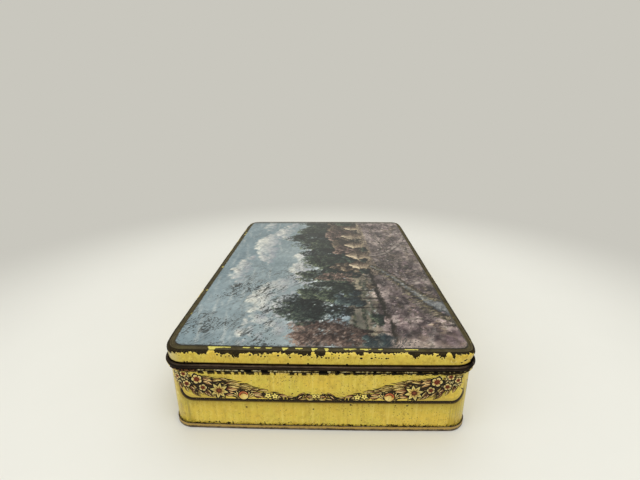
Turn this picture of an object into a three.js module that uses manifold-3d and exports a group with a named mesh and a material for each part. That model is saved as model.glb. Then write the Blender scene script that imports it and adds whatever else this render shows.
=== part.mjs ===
// A lift-off-lid biscuit tin: a pressed lid, a seamed body wall and a crimped-on base, all of one gauge of tinplate.
// Millimetres, +Z up. The origin is the middle of the footprint, on the plane the tin stands on.
// X runs across the short side and Y along the long side.
// Every piece is a sheet swept round a rounded rectangle: a point [d, z] of a section lies d outside the lid's
// plan outline (d < 0 is inside it) at height z.
import * as THREE from "three";
import { mergeVertices } from "three/addons/utils/BufferGeometryUtils.js";
import Module from "manifold-3d";

// ---- driving dimensions ----
const LID_WIDTH = 168; // lid skirt, across the short side (X)
const LID_LENGTH = 245; // lid skirt, along the long side (Y)
const HEIGHT = 52.5; // closed tin, from the base rim to the raised panel
const CORNER_R = 11; // plan radius of the lid skirt
const SHEET = 0.3; // tinplate thickness
const CORNER_STEPS = 7; // facets in each plan corner

const PANEL_INSET = 4.9; // from the lid outline to the foot of the raised panel's step
const PANEL_RISE = 0.7; // how far the picture panel stands above the border round it
const LID_EDGE_R = 2.0; // rounded edge between the lid's border and its skirt
const CURL_HALF_WIDTH = 0.9; // oval curl at the skirt's hem, to the middle of the sheet
const CURL_HALF_HEIGHT = 1.2;
const CURL_Z = 42.85; // height of the curl's centre
const CURL_OPEN_DEG = 64; // part of the turn left open beside the skirt

const FIT_GAP = 0.3; // lid skirt to body neck
const BODY_INSET = 0.5; // body wall's outer face, inside the lid outline
const BEAD_Z = 39.8; // stop bead that the lid's curl comes down to
const BEAD_HALF = 1.45;
const BEAD_OUT = 0.85;
const NECK_TOP = 50.2; // top of the body's rolled-in lip
const LIP_R = 0.85; // radius of the rolled-in lip, to the middle of the sheet
const WALL_FOOT = 0.6; // raw lower edge of the body wall, held inside the base's crimp

const SEAM_WIDTH = 5; // lock seam that closes the body strip, on the inside of the back wall
const SEAM_THICK = 0.6;
const SEAM_LOW = 3.4;
const SEAM_HIGH = 37.8;

const CRIMP_GAP = 0.3; // between the base's crimp and the body wall
const CRIMP_HEIGHT = 3.1; // outer leg of the crimp
const BASE_PANEL_Z = 2.3; // middle of the base sheet, raised off the surface
const BASE_PANEL_R = 0.7;
const CRIMP_R = 0.3;

const half = SHEET / 2;

// ---- helpers ----
// Samples a THREE.Path of lines and arcs, without the repeated points where two of them meet.
function sample(path, divisions) {
  const out = [];
  for (const curve of path.curves) {
    const n = curve.isLineCurve ? 1 : divisions(curve);
    for (const p of curve.getPoints(n)) {
      const last = out[out.length - 1];
      if (!last || last.distanceTo(p) > 1e-4) out.push(p.clone());
    }
  }
  return out;
}

// The two faces of a sheet whose middle follows the points: [left of the walk, right of the walk].
function faces(middle) {
  const left = [],
    right = [];
  middle.forEach((p, i) => {
    const a = middle[Math.max(i - 1, 0)],
      b = middle[Math.min(i + 1, middle.length - 1)];
    const u = new THREE.Vector2().subVectors(p, a).normalize(),
      v = new THREE.Vector2().subVectors(b, p).normalize();
    const t = (i === 0 ? v : i === middle.length - 1 ? u : u.clone().add(v)).clone().normalize();
    const n = new THREE.Vector2(-t.y, t.x);
    // a mitre, so that the sheet keeps its thickness through a corner
    const k = i === 0 || i === middle.length - 1 ? 1 : 1 / Math.max(n.dot(new THREE.Vector2(-u.y, u.x)), 0.5);
    left.push(new THREE.Vector2(p.x + n.x * half * k, p.y + n.y * half * k));
    right.push(new THREE.Vector2(p.x - n.x * half * k, p.y - n.y * half * k));
  });
  return [left, right];
}

// One turn round the plan outline at offset d and height z, counter-clockwise from +X.
function outline(d, z) {
  const hx = LID_WIDTH / 2 - CORNER_R,
    hy = LID_LENGTH / 2 - CORNER_R,
    r = CORNER_R + d,
    ring = [];
  for (const [sx, sy, start] of [[1, 1, 0], [-1, 1, 90], [-1, -1, 180], [1, -1, 270]])
    for (let k = 0; k <= CORNER_STEPS; k++) {
      const a = THREE.MathUtils.degToRad(start + (90 * k) / CORNER_STEPS);
      ring.push(new THREE.Vector3(sx * hx + r * Math.cos(a), sy * hy + r * Math.sin(a), z));
    }
  return ring;
}

// Sweeps a section round the outline. The section is walked with the material on its left, in (d, z).
// With closed = false the section starts and ends inside, and flat fans close both ends at the middle.
function sweep(section, closed) {
  const rings = section.map((p) => outline(p.x, p.y)),
    m = rings[0].length,
    pos = [],
    index = [];
  for (const ring of rings) for (const p of ring) pos.push(p.x, p.y, p.z);
  const last = closed ? rings.length : rings.length - 1;
  for (let i = 0; i < last; i++)
    for (let j = 0; j < m; j++) {
      const a = i * m + j,
        b = i * m + ((j + 1) % m),
        i2 = (i + 1) % rings.length,
        c = i2 * m + ((j + 1) % m),
        d = i2 * m + j;
      index.push(a, b, c, a, c, d);
    }
  if (!closed)
    for (const [i, flip] of [[0, false], [rings.length - 1, true]]) {
      const centre = pos.length / 3;
      pos.push(0, 0, section[i].y);
      for (let j = 0; j < m; j++) {
        const a = i * m + j,
          b = i * m + ((j + 1) % m);
        index.push(...(flip ? [centre, a, b] : [centre, b, a]));
      }
    }
  const g = new THREE.BufferGeometry();
  g.setAttribute("position", new THREE.Float32BufferAttribute(pos, 3));
  g.setIndex(index);
  return g;
}

const wasm = await Module();
wasm.setup();
function toSolid(geometry) {
  const g = geometry.clone();
  g.deleteAttribute("normal");
  g.deleteAttribute("uv");
  const merged = mergeVertices(g, 1e-4);
  return new wasm.Manifold(
    new wasm.Mesh({
      numProp: 3,
      vertProperties: new Float32Array(merged.attributes.position.array),
      triVerts: new Uint32Array(merged.index.array),
    }),
  );
}
function toGeometry(solid) {
  const mesh = solid.getMesh(),
    n = mesh.numProp,
    pos = new Float32Array(mesh.numVert * 3);
  for (let i = 0; i < mesh.numVert; i++)
    pos.set(mesh.vertProperties.subarray(i * n, i * n + 3), i * 3);
  const g = new THREE.BufferGeometry();
  g.setAttribute("position", new THREE.BufferAttribute(pos, 3));
  g.setIndex(new THREE.BufferAttribute(new Uint32Array(mesh.triVerts), 1));
  return g;
}

// ---- lid: raised panel, border, skirt and a hollow outward curl ----
function lidSection() {
  const top = HEIGHT - half,
    border = top - PANEL_RISE,
    step = PANEL_RISE,
    foot = -PANEL_INSET,
    edge = -half,
    path = new THREE.Path();
  path.moveTo(foot - 3 * step, top);
  path.lineTo(foot - 1.5 * step, top);
  path.bezierCurveTo(foot - 0.75 * step, top, foot - 0.75 * step, border, foot, border);
  path.lineTo(edge - LID_EDGE_R, border);
  path.absarc(edge - LID_EDGE_R, border - LID_EDGE_R, LID_EDGE_R, Math.PI / 2, 0, true);
  path.lineTo(edge, CURL_Z);
  // down the inner side of the curl, under it, up its outer side and back over the top
  path.absellipse(
    edge + CURL_HALF_WIDTH, CURL_Z, CURL_HALF_WIDTH, CURL_HALF_HEIGHT,
    Math.PI, Math.PI + THREE.MathUtils.degToRad(360 - CURL_OPEN_DEG), false, 0,
  );
  const [outside, inside] = faces(sample(path, (c) => (c.isEllipseCurve ? (c.aClockwise ? 4 : 14) : 4)));
  // from the panel's underside out to the curl, and back over the outside to the panel's top
  return [...inside, ...outside.reverse()];
}

// ---- body wall: foot, wall, stop bead, neck and a rolled-in lip ----
function wallSection() {
  const wall = -BODY_INSET - half,
    neck = -SHEET - FIT_GAP - half,
    pts = [new THREE.Vector2(wall, WALL_FOOT), new THREE.Vector2(wall, BEAD_Z - BEAD_HALF)];
  const n = 10;
  for (let i = 1; i <= n; i++) {
    const u = -1 + (2 * i) / n,
      base = THREE.MathUtils.lerp(wall, neck, (u + 1) / 2);
    pts.push(new THREE.Vector2(base + BEAD_OUT * Math.pow(0.5 + 0.5 * Math.cos(Math.PI * u), 0.8), BEAD_Z + u * BEAD_HALF));
  }
  const lip = new THREE.Path();
  lip.absarc(neck - LIP_R, NECK_TOP - half - LIP_R, LIP_R, 0, 1.5 * Math.PI, false);
  pts.push(...sample(lip, () => 12));
  const [inside, outside] = faces(pts);
  return [...outside, ...inside.reverse()];
}

// ---- base: raised panel with a U-shaped crimp round the wall's foot ----
function baseSection() {
  const inner = -BODY_INSET - SHEET - CRIMP_GAP - half,
    outer = -BODY_INSET + CRIMP_GAP + half,
    path = new THREE.Path();
  path.moveTo(inner - 4, BASE_PANEL_Z);
  path.lineTo(inner - BASE_PANEL_R, BASE_PANEL_Z);
  path.absarc(inner - BASE_PANEL_R, BASE_PANEL_Z - BASE_PANEL_R, BASE_PANEL_R, Math.PI / 2, 0, true);
  path.lineTo(inner, half + CRIMP_R);
  path.absarc(inner + CRIMP_R, half + CRIMP_R, CRIMP_R, Math.PI, 1.5 * Math.PI, false);
  path.lineTo(outer - CRIMP_R, half);
  path.absarc(outer - CRIMP_R, half + CRIMP_R, CRIMP_R, -Math.PI / 2, 0, false);
  path.lineTo(outer, CRIMP_HEIGHT);
  const [above, below] = faces(sample(path, () => 4));
  return [...below, ...above.reverse()];
}

const paint = (colour, roughness, metalness) => new THREE.MeshStandardMaterial({ color: colour, roughness, metalness });
function piece(name, geometry, material) {
  geometry.computeVertexNormals();
  const mesh = new THREE.Mesh(geometry, material);
  mesh.name = name;
  return mesh;
}

const wallSolid = toSolid(sweep(wallSection(), true));
const seam = new THREE.BoxGeometry(SEAM_WIDTH, SEAM_THICK, SEAM_HIGH - SEAM_LOW);
seam.translate(
  0,
  LID_LENGTH / 2 - BODY_INSET - SHEET + 0.1 - SEAM_THICK / 2,
  (SEAM_HIGH + SEAM_LOW) / 2,
);
const bodyWall = toGeometry(wallSolid.add(toSolid(seam)));

const tin = new THREE.Group();
tin.name = "biscuit_tin";
const lower = new THREE.Group();
lower.name = "tin_body";
lower.add(piece("base_pan", sweep(baseSection(), false), paint(0x8d8a80, 0.45, 0.7)));
lower.add(piece("body_wall", bodyWall, paint(0xcdb648, 0.4, 0.2)));
const upper = new THREE.Group();
upper.name = "lift_off_lid";
upper.add(piece("lid_shell", sweep(lidSection(), false), paint(0x6f7f86, 0.35, 0.2)));
tin.add(lower, upper);

export default tin;
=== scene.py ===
"""Looks of the biscuit tin: finer sheet meshes for its three pieces, a painted landscape on the lid, a printed
flower festoon on the walls and the wear on both. Lengths are in millimetres until a mesh is made."""
import math
import random

import bpy
import numpy as np
from mathutils import Matrix, Vector
from mathutils.geometry import delaunay_2d_cdt


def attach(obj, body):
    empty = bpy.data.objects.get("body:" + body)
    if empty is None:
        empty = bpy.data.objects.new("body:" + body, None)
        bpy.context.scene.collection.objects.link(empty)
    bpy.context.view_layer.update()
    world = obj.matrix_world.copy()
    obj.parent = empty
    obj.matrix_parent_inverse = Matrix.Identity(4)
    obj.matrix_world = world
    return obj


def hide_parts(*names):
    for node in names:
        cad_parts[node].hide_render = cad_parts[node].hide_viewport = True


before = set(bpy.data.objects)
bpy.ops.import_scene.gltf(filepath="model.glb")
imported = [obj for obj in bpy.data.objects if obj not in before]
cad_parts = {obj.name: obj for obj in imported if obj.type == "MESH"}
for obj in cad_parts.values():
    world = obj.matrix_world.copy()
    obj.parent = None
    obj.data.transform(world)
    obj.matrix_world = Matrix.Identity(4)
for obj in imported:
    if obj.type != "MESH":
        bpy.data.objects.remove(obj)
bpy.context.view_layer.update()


# ---------------------------------------------------------------- dimensions, as in the frame
WIDTH, LENGTH, HEIGHT = 168.0, 245.0, 52.5
R = 11.0  # plan radius of the lid skirt
HALF = 0.15  # half of the sheet
HX, HY = WIDTH / 2 - R, LENGTH / 2 - R  # centres of the plan corners
WALL_OUT = -0.5  # body wall's outer face, as an offset from the lid outline
RW = R + WALL_OUT
QUARTER = math.pi / 2 * RW
PERIMETER = 4 * QUARTER + 4 * HX + 4 * HY
BEAD_LOW, BEAD_Z, BEAD_HALF, BEAD_OUT = 38.35, 39.8, 1.45, 0.85
WALL_FOOT = 0.6
BORDER_Z = HEIGHT - 0.7  # top of the border round the panel
LID_EDGE_R = 2.0  # rounded edge between the border and the skirt


def srgb(*rgb):
    """sRGB 0-255 to the linear numbers that the shaders take."""
    c = np.asarray(rgb, float) / 255
    return np.where(c <= 0.04045, c / 12.92, ((c + 0.055) / 1.055) ** 2.4)


def rgba(*rgb):
    return (*[float(v) for v in srgb(*rgb)], 1.0)


# ---------------------------------------------------------------- plan: distance round the tin
# s runs counter-clockwise from the middle of the back (+Y) wall, measured along the body's outer face.
S_CORNER = [HX, HX + QUARTER + 2 * HY, 3 * HX + 2 * QUARTER + 2 * HY, 3 * HX + 3 * QUARTER + 4 * HY]
S_SIDE = {  # middle of each side
    "left": HX + QUARTER + HY,
    "front": 2 * HX + 2 * QUARTER + 2 * HY,
    "right": 3 * HX + 3 * QUARTER + 3 * HY,
    "back": PERIMETER,
}


def plan(s):
    """Base point and outward normal at s: a point at offset d is base + normal * (R + d)."""
    s = np.asarray(s, float)
    base, normal = np.zeros((len(s), 2)), np.zeros((len(s), 2))
    runs = [
        ("line", HX, (0, HY), (-1, 0), (0, 1)),
        ("arc", QUARTER, (-HX, HY), 90),
        ("line", 2 * HY, (-HX, HY), (0, -1), (-1, 0)),
        ("arc", QUARTER, (-HX, -HY), 180),
        ("line", 2 * HX, (-HX, -HY), (1, 0), (0, -1)),
        ("arc", QUARTER, (HX, -HY), 270),
        ("line", 2 * HY, (HX, -HY), (0, 1), (1, 0)),
        ("arc", QUARTER, (HX, HY), 0),
        ("line", HX, (HX, HY), (-1, 0), (0, 1)),
    ]
    start = 0.0
    for run in runs:
        length = run[1]
        last = run is runs[-1]
        m = (s >= start - 1e-9) & ((s < start + length - 1e-9) | last)
        u = s[m] - start
        if run[0] == "line":
            base[m] = np.array(run[2]) + u[:, None] * np.array(run[3])
            normal[m] = run[4]
        else:
            a = np.radians(run[3] + 90 * u / QUARTER)
            base[m] = run[2]
            normal[m] = np.stack([np.cos(a), np.sin(a)], 1)
        start += length
    return base, normal


def s_of(x, y):
    """The s of points that lie on or inside the outline."""
    x, y = np.asarray(x, float), np.asarray(y, float)
    s = np.zeros(len(x))
    for i, (px, py) in enumerate(zip(x, y)):
        if abs(px) > HX and abs(py) > HY:
            a = math.degrees(math.atan2(py - math.copysign(HY, py), px - math.copysign(HX, px))) % 360
            k = {(1, 1): (3, 0), (-1, 1): (0, 90), (-1, -1): (1, 180), (1, -1): (2, 270)}[(1 if px > 0 else -1, 1 if py > 0 else -1)]
            s[i] = S_CORNER[k[0]] + QUARTER * ((a - k[1]) / 90)
        elif abs(px) - HX > abs(py) - HY:
            s[i] = S_SIDE["left"] - py if px < 0 else S_SIDE["right"] + py
        elif py < 0:
            s[i] = S_SIDE["front"] + px
        else:
            s[i] = -px if px <= 0 else PERIMETER - px
    return s


def stations(step_x, step_y, corner_steps, extra=()):
    """Values of s to put section rings at, from 0 to just short of the perimeter."""
    s = [0.0]
    for length, n in [
        (HX, step_x), (QUARTER, 0), (2 * HY, step_y), (QUARTER, 0), (2 * HX, step_x),
        (QUARTER, 0), (2 * HY, step_y), (QUARTER, 0), (HX, step_x),
    ]:
        count = corner_steps if n == 0 else max(1, round(length / n))
        s += [s[-1] + length * (k + 1) / count for k in range(count)]
    s = s[:-1] + list(extra)
    return np.array(sorted(set(round(v, 6) for v in s)))


def edge_distance(x, y):
    """Signed distance from the lid's outline in plan, negative inside."""
    qx, qy = np.abs(x) - HX, np.abs(y) - HY
    return np.hypot(np.maximum(qx, 0), np.maximum(qy, 0)) + np.minimum(np.maximum(qx, qy), 0) - R


# ---------------------------------------------------------------- sections and meshes
def sheet_faces(middle):
    """The two faces of a sheet whose middle follows the points, as (left of the walk, right of the walk)."""
    p = np.asarray(middle, float)
    d = np.diff(p, axis=0)
    d /= np.linalg.norm(d, axis=1)[:, None]
    u, v = np.vstack([d[:1], d]), np.vstack([d, d[-1:]])
    t = u + v
    t /= np.linalg.norm(t, axis=1)[:, None]
    n = np.stack([-t[:, 1], t[:, 0]], 1)
    nu = np.stack([-u[:, 1], u[:, 0]], 1)
    k = 1 / np.maximum((n * nu).sum(1), 0.5)
    return p + n * (HALF * k)[:, None], p - n * (HALF * k)[:, None]


def arc(cx, cz, rx, rz, a0, a1, n):
    a = np.radians(np.linspace(a0, a1, n + 1))
    return [(cx + rx * math.cos(t), cz + rz * math.sin(t)) for t in a]


def bezier(p0, p1, p2, p3, n):
    t = np.linspace(0, 1, n + 1)[:, None]
    p0, p1, p2, p3 = (np.array(p, float) for p in (p0, p1, p2, p3))
    q = (1 - t) ** 3 * p0 + 3 * (1 - t) ** 2 * t * p1 + 3 * (1 - t) * t**2 * p2 + t**3 * p3
    return [tuple(v) for v in q]


def chain(*parts):
    out = []
    for part in parts:
        for p in part:
            if not out or math.dist(p, out[-1]) > 1e-4:
                out.append(p)
    return out


def line(p0, p1, n=1):
    return [(p0[0] + (p1[0] - p0[0]) * k / n, p0[1] + (p1[1] - p0[1]) * k / n) for k in range(n + 1)]


def bow(p):
    """The short sides stand out a little in their middle, so their ends are drawn in by up to 0.75 mm."""
    p = p.copy()
    reach = np.clip((np.abs(p[:, 1]) - 40) / 70, 0, 1)
    p[:, 1] -= np.sign(p[:, 1]) * 0.75 * np.minimum(np.abs(p[:, 0]) / 76, 1) ** 2.4 * reach**2 * (3 - 2 * reach)
    return p


def bulge(p):
    """The stop bead stands out up to 0.9 mm further along the long sides."""
    p = p.copy()
    ease = np.clip((np.abs(p[:, 0]) - 74) / 7, 0, 1)
    crest = np.cos(0.5 * math.pi * np.clip((p[:, 2] - 39.8) / 1.5, -1, 1)) ** 2
    p[:, 0] += np.sign(p[:, 0]) * 0.9 * ease * ease * (3 - 2 * ease) * crest
    return p


def spread(p):
    """The lid's top is a little wider than its hem, and its panel comes nearer to the edge than in a plain lid:
    up to 2 mm along the long sides and 1.6 mm along the near short side. The curl and the corners stay where they are."""
    p = p.copy()
    x, y = p[:, 0].copy(), p[:, 1].copy()
    rise = np.clip((p[:, 2] - 44.6) / 6.0, 0, 1)
    rise = rise * rise * (3 - 2 * rise)
    ease = np.clip((np.abs(x) - 58) / 20, 0, 1)
    ease = ease * ease * (3 - 2 * ease)
    outer = np.clip((np.abs(x) - 78.0) / 5.6, 0, 1)
    corner = np.clip((np.abs(y) - 104) / 13, 0, 1)
    inner_left, inner_right = 1.75 - 0.95 * corner, 2.00
    outer_left, outer_right = 1.20 - 1.10 * corner, 0.95 - 0.80 * corner
    side = np.where(x < 0, inner_left + (outer_left - inner_left) * outer, inner_right + (outer_right - inner_right) * outer)
    p[:, 0] += np.sign(x) * ease * side * rise
    near = np.interp(-y, [96.0, 106.0, 116.6, 120.4], [0.0, 0.40, 1.00, 0.0])
    p[:, 1] -= near * rise * np.clip(1.15 + x / 150, 0.6, 1.6)
    return p


class Build:
    """Collects vertices in mm and faces with a material number, then makes a mesh."""

    def __init__(self):
        self.verts, self.faces, self.mats, self.count = [], [], [], 0

    def add(self, points):
        points = np.asarray(points, float)
        start = self.count
        self.verts.append(points)
        self.count += len(points)
        return start

    def face(self, ids, mat):
        self.faces.append(tuple(int(i) for i in ids))
        self.mats.append(mat)

    def sweep(self, section, s, mats, bend=None):
        """Rings of an open section. mats has one material number for each step of the section."""
        base, normal = plan(s)
        m = len(s)
        rings = []
        for d, z in section:
            p = np.column_stack([base + normal * (R + d), np.full(m, z)])
            rings.append(p)
        pts = np.concatenate(rings)
        if bend is not None:
            pts = bend(pts, np.tile(normal, (len(section), 1)))
        start = self.add(pts)
        for i in range(len(section) - 1):
            for j in range(m):
                a, b = start + i * m + j, start + i * m + (j + 1) % m
                self.face((a, b, b + m, a + m), mats[i])
        return start, start + (len(section) - 1) * m  # first and last ring

    def zip(self, inner, s_inner, outer, s_outer, mat, flip=False):
        """Triangles between two closed loops in one plane, both counter-clockwise, by their s."""
        inner, outer = list(inner), list(outer)
        a, b = np.argsort(s_inner), np.argsort(s_outer)
        sa, sb = np.asarray(s_inner)[a], np.asarray(s_outer)[b]
        ia, ib = [inner[k] for k in a], [outer[k] for k in b]
        na, nb, i, j = len(ia), len(ib), 0, 0
        while i < na or j < nb:
            next_a = sa[i + 1] if i + 1 < na else (PERIMETER + sa[0] if i < na else 1e9)
            next_b = sb[j + 1] if j + 1 < nb else (PERIMETER + sb[0] if j < nb else 1e9)
            if (next_a <= next_b and i < na) or j >= nb:
                tri = (ia[i % na], ib[j % nb], ia[(i + 1) % na])
                i += 1
            else:
                tri = (ia[i % na], ib[j % nb], ib[(j + 1) % nb])
                j += 1
            self.face(tri[::-1] if flip else tri, mat)

    def mesh(self, name, warp=bow):
        me = bpy.data.meshes.new(name)
        co = warp(np.concatenate(self.verts)) * 0.001
        me.from_pydata(co.tolist(), [], self.faces)
        me.polygons.foreach_set("material_index", np.array(self.mats, np.int32))
        me.polygons.foreach_set("use_smooth", np.ones(len(self.faces), bool))
        me.update()
        return me


def store(me, name, values):
    """A number or a colour for each vertex."""
    values = np.asarray(values, np.float32)
    if values.ndim == 1:
        me.attributes.new(name, "FLOAT", "POINT").data.foreach_set("value", values)
    else:
        me.attributes.new(name, "FLOAT_COLOR", "POINT").data.foreach_set("color", values.ravel())


def place(me, name, materials, body, node):
    ob = bpy.data.objects.new(name, me)
    bpy.context.scene.collection.objects.link(ob)
    for m in materials:
        me.materials.append(m)
    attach(ob, body)
    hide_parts(node)
    return ob


def smooth_noise(shape, cell, rng, octaves=3, gain=0.5):
    """Value noise from 0 to 1 on a grid, cell pixels to a feature."""
    total, weight, out = 0.0, 1.0, np.zeros(shape)
    for _ in range(octaves):
        gy, gx = int(shape[0] / cell) + 3, int(shape[1] / cell) + 3
        g = rng.random((gy, gx))
        y, x = np.arange(shape[0]) / cell, np.arange(shape[1]) / cell
        iy, ix = y.astype(int), x.astype(int)
        fy, fx = y - iy, x - ix
        fy, fx = (fy * fy * (3 - 2 * fy))[:, None], (fx * fx * (3 - 2 * fx))[None, :]
        a, b = g[np.ix_(iy, ix)], g[np.ix_(iy, ix + 1)]
        c, d = g[np.ix_(iy + 1, ix)], g[np.ix_(iy + 1, ix + 1)]
        out += weight * ((a * (1 - fx) + b * fx) * (1 - fy) + (c * (1 - fx) + d * fx) * fy)
        total += weight
        weight *= gain
        cell = max(cell / 2, 1.01)
    return out / total


# ================================================================ the picture on the lid
# A made-up countryside: clouds over low hills, a wood, round ricks, a winding stream and a heath with a fence.
# u runs from the picture's left (-Y) to its right (+Y) and v from its foot (+X) to its top (-X), in mm.
PIC_U, PIC_V, PX = 236.0, 159.0, 0.4


class Canvas:
    def __init__(self):
        self.nv, self.nu = int(round(PIC_V / PX)), int(round(PIC_U / PX))
        self.img = np.zeros((self.nv, self.nu, 3))
        self.u = (np.arange(self.nu) + 0.5) * PX
        self.v = (np.arange(self.nv) + 0.5) * PX

    def dab(self, u, v, a, b, angle, colour, alpha=1.0, soft=0.55):
        reach = max(a, b) + PX
        i0, i1 = max(int((v - reach) / PX), 0), min(int((v + reach) / PX) + 2, self.nv)
        j0, j1 = max(int((u - reach) / PX), 0), min(int((u + reach) / PX) + 2, self.nu)
        if i0 >= i1 or j0 >= j1:
            return
        du, dv = self.u[None, j0:j1] - u, self.v[i0:i1, None] - v
        c, s = math.cos(angle), math.sin(angle)
        q = np.sqrt(((du * c + dv * s) / a) ** 2 + ((dv * c - du * s) / b) ** 2)
        m = np.clip((1 - q) / soft, 0, 1) * alpha
        tile = self.img[i0:i1, j0:j1]
        tile += (np.asarray(colour, float) - tile) * m[..., None]

    def stroke(self, points, width, colour, alpha=1.0, taper=0.0, jitter=0.0, rng=None):
        pts = np.asarray(points, float)
        seg = np.hypot(*np.diff(pts, axis=0).T)
        total = np.concatenate([[0], np.cumsum(seg)])
        n = max(2, int(total[-1] / max(width * 0.35, 0.25)))
        for k in range(n + 1):
            t = total[-1] * k / n
            u, v = np.interp(t, total, pts[:, 0]), np.interp(t, total, pts[:, 1])
            w = width * (1 - taper * k / n) / 2
            if jitter:
                u, v = u + rng.normal(0, jitter), v + rng.normal(0, jitter)
            self.dab(u, v, max(w, 0.22), max(w, 0.22), 0, colour, alpha, 0.5)


def mixc(a, b, t):
    return np.asarray(a, float) * (1 - t) + np.asarray(b, float) * t


def three(dark, mid, light, t):
    return mixc(dark, mid, t * 2) if t < 0.5 else mixc(mid, light, t * 2 - 1)


def horizon(u):
    return 62 + 2.6 * math.sin(u / 31 + 0.6) + 1.3 * math.sin(u / 12.5)


def stream(v):
    """Middle and half width of the stream at height v in the picture."""
    t = (50 - v) / 50
    return 112 - 62 * t**1.15 + 13 * math.sin(t * 5.2 + 0.4) * (0.25 + t), 0.9 + 10.5 * t**1.5


def cloud(cv, rng, cu, cvv, ru, rv, puffs, bright=1.0):
    """A heap of puffs, lit from the upper left, with a flat grey foot."""
    spots = []
    for _ in range(puffs):
        x = rng.uniform(-1, 1)
        y = rng.uniform(0, 1) ** 0.8 * (1 - x * x) ** 0.6
        spots.append((x, y, rng.uniform(0.16, 0.34) * (1.1 - 0.5 * abs(x))))
    spots.sort(key=lambda q: -q[1])
    for x, y, r in spots:
        u, v, rad = cu + x * ru, cvv + y * rv, r * ru * 0.62
        base = three((128, 136, 146), (168, 172, 173), (216, 215, 203), min(1, 0.25 + 0.8 * y + rng.normal(0, 0.08)))
        cv.dab(u, v, rad, rad * 0.72, rng.normal(0, 0.2), base, 0.42 * bright, 0.9)
        for _ in range(7):
            a = rng.uniform(0, 2 * math.pi)
            du, dv = math.cos(a) * rad * 0.6, math.sin(a) * rad * 0.45
            lit = np.clip(0.5 + 0.5 * (-0.55 * math.cos(a) + 0.8 * math.sin(a)) + rng.normal(0, 0.12), 0, 1)
            col = three((134, 141, 151), (182, 184, 182), (230, 228, 214), lit * (0.35 + 0.65 * y))
            cv.dab(u + du, v + dv, rad * rng.uniform(0.25, 0.45), rad * rng.uniform(0.14, 0.28), rng.normal(0.1, 0.5), col, 0.5 * bright, 0.8)


def crown(cv, rng, cu, cvv, ru, rv, palette, clumps, leaves=260, size=1.0, airy=0.0):
    """A tree crown: clumps of leaves heaped on each other, light on their upper left and dark beneath."""
    dark, mid, light = (np.array(c, float) for c in palette)
    spots = []
    for _ in range(clumps):
        a, q = rng.uniform(0, 2 * math.pi), math.sqrt(rng.random())
        spots.append((cu + ru * q * math.cos(a) * rng.uniform(0.7, 1.06), cvv + rv * q * math.sin(a) * rng.uniform(0.7, 1.06), rng.uniform(0.24, 0.42)))
    if not airy:
        for _ in range(int(ru * rv * 0.45)):
            a, q = rng.uniform(0, 2 * math.pi), math.sqrt(rng.random())
            cv.dab(cu + ru * 0.82 * q * math.cos(a), cvv + rv * 0.82 * q * math.sin(a), 2.0 * size, 1.5 * size, rng.uniform(0, 3), mixc(dark, mid, 0.2 * rng.random()), 0.85, 0.4)
    spots.sort(key=lambda p: p[1] + rng.normal(0, rv * 0.25))
    for u, v, r in spots:
        lu, lv = ru * r, rv * r * 0.9
        height = (v - (cvv - rv)) / (2 * rv)
        lean = (cu - u) / ru
        for _ in range(int(16 * size)):
            a, q = rng.uniform(0, 2 * math.pi), math.sqrt(rng.random())
            cv.dab(u + lu * 0.9 * q * math.cos(a), v - lv * 0.25 + lv * 0.8 * q * math.sin(a), 1.2 * size, 0.9 * size, rng.uniform(0, 3), mixc(dark, mid, 0.15 + 0.2 * rng.random()), 0.7, 0.4)
        for k in range(leaves):
            a, q = rng.uniform(0, 2 * math.pi), rng.random() ** 0.45 * (1.15 if rng.random() < 0.12 else 1)
            x, y = q * math.cos(a), q * math.sin(a)
            lit = 0.34 + 0.50 * (-0.45 * x + 0.85 * y) * q + 0.20 * (height - 0.5) + 0.14 * lean + rng.normal(0, 0.20)
            cv.dab(u + lu * x, v + lv * y, rng.uniform(0.35, 0.85) * size, rng.uniform(0.24, 0.5) * size, rng.uniform(0, math.pi),
                   three(dark, mid, light, float(np.clip(lit, 0, 1))), rng.uniform(0.6, 1.0), 0.35)
    for _ in range(int(70 * airy)):  # branches that show through
        a = rng.uniform(0.3, 2.8)
        p = np.array([cu + rng.normal(0, ru * 0.3), cvv - rv * rng.uniform(0.1, 0.7)])
        q = p + np.array([math.cos(a), math.sin(a)]) * rng.uniform(3, 7)
        cv.stroke([p, q], 0.5, mixc(dark, mid, 0.2), 0.8, 0.4)


def sharpen(img, reach, amount):
    """Lifts the contrast of detail finer than reach pixels."""
    k = np.exp(-0.5 * (np.arange(-2 * reach, 2 * reach + 1) / reach) ** 2)
    k /= k.sum()
    pad = 2 * reach
    soft = np.pad(img, ((pad, pad), (pad, pad), (0, 0)), mode="edge")
    soft = sum(w * soft[i : i + img.shape[0]] for i, w in enumerate(k))
    soft = sum(w * soft[:, i : i + img.shape[1]] for i, w in enumerate(k))
    return img + amount * (img - soft)


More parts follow.
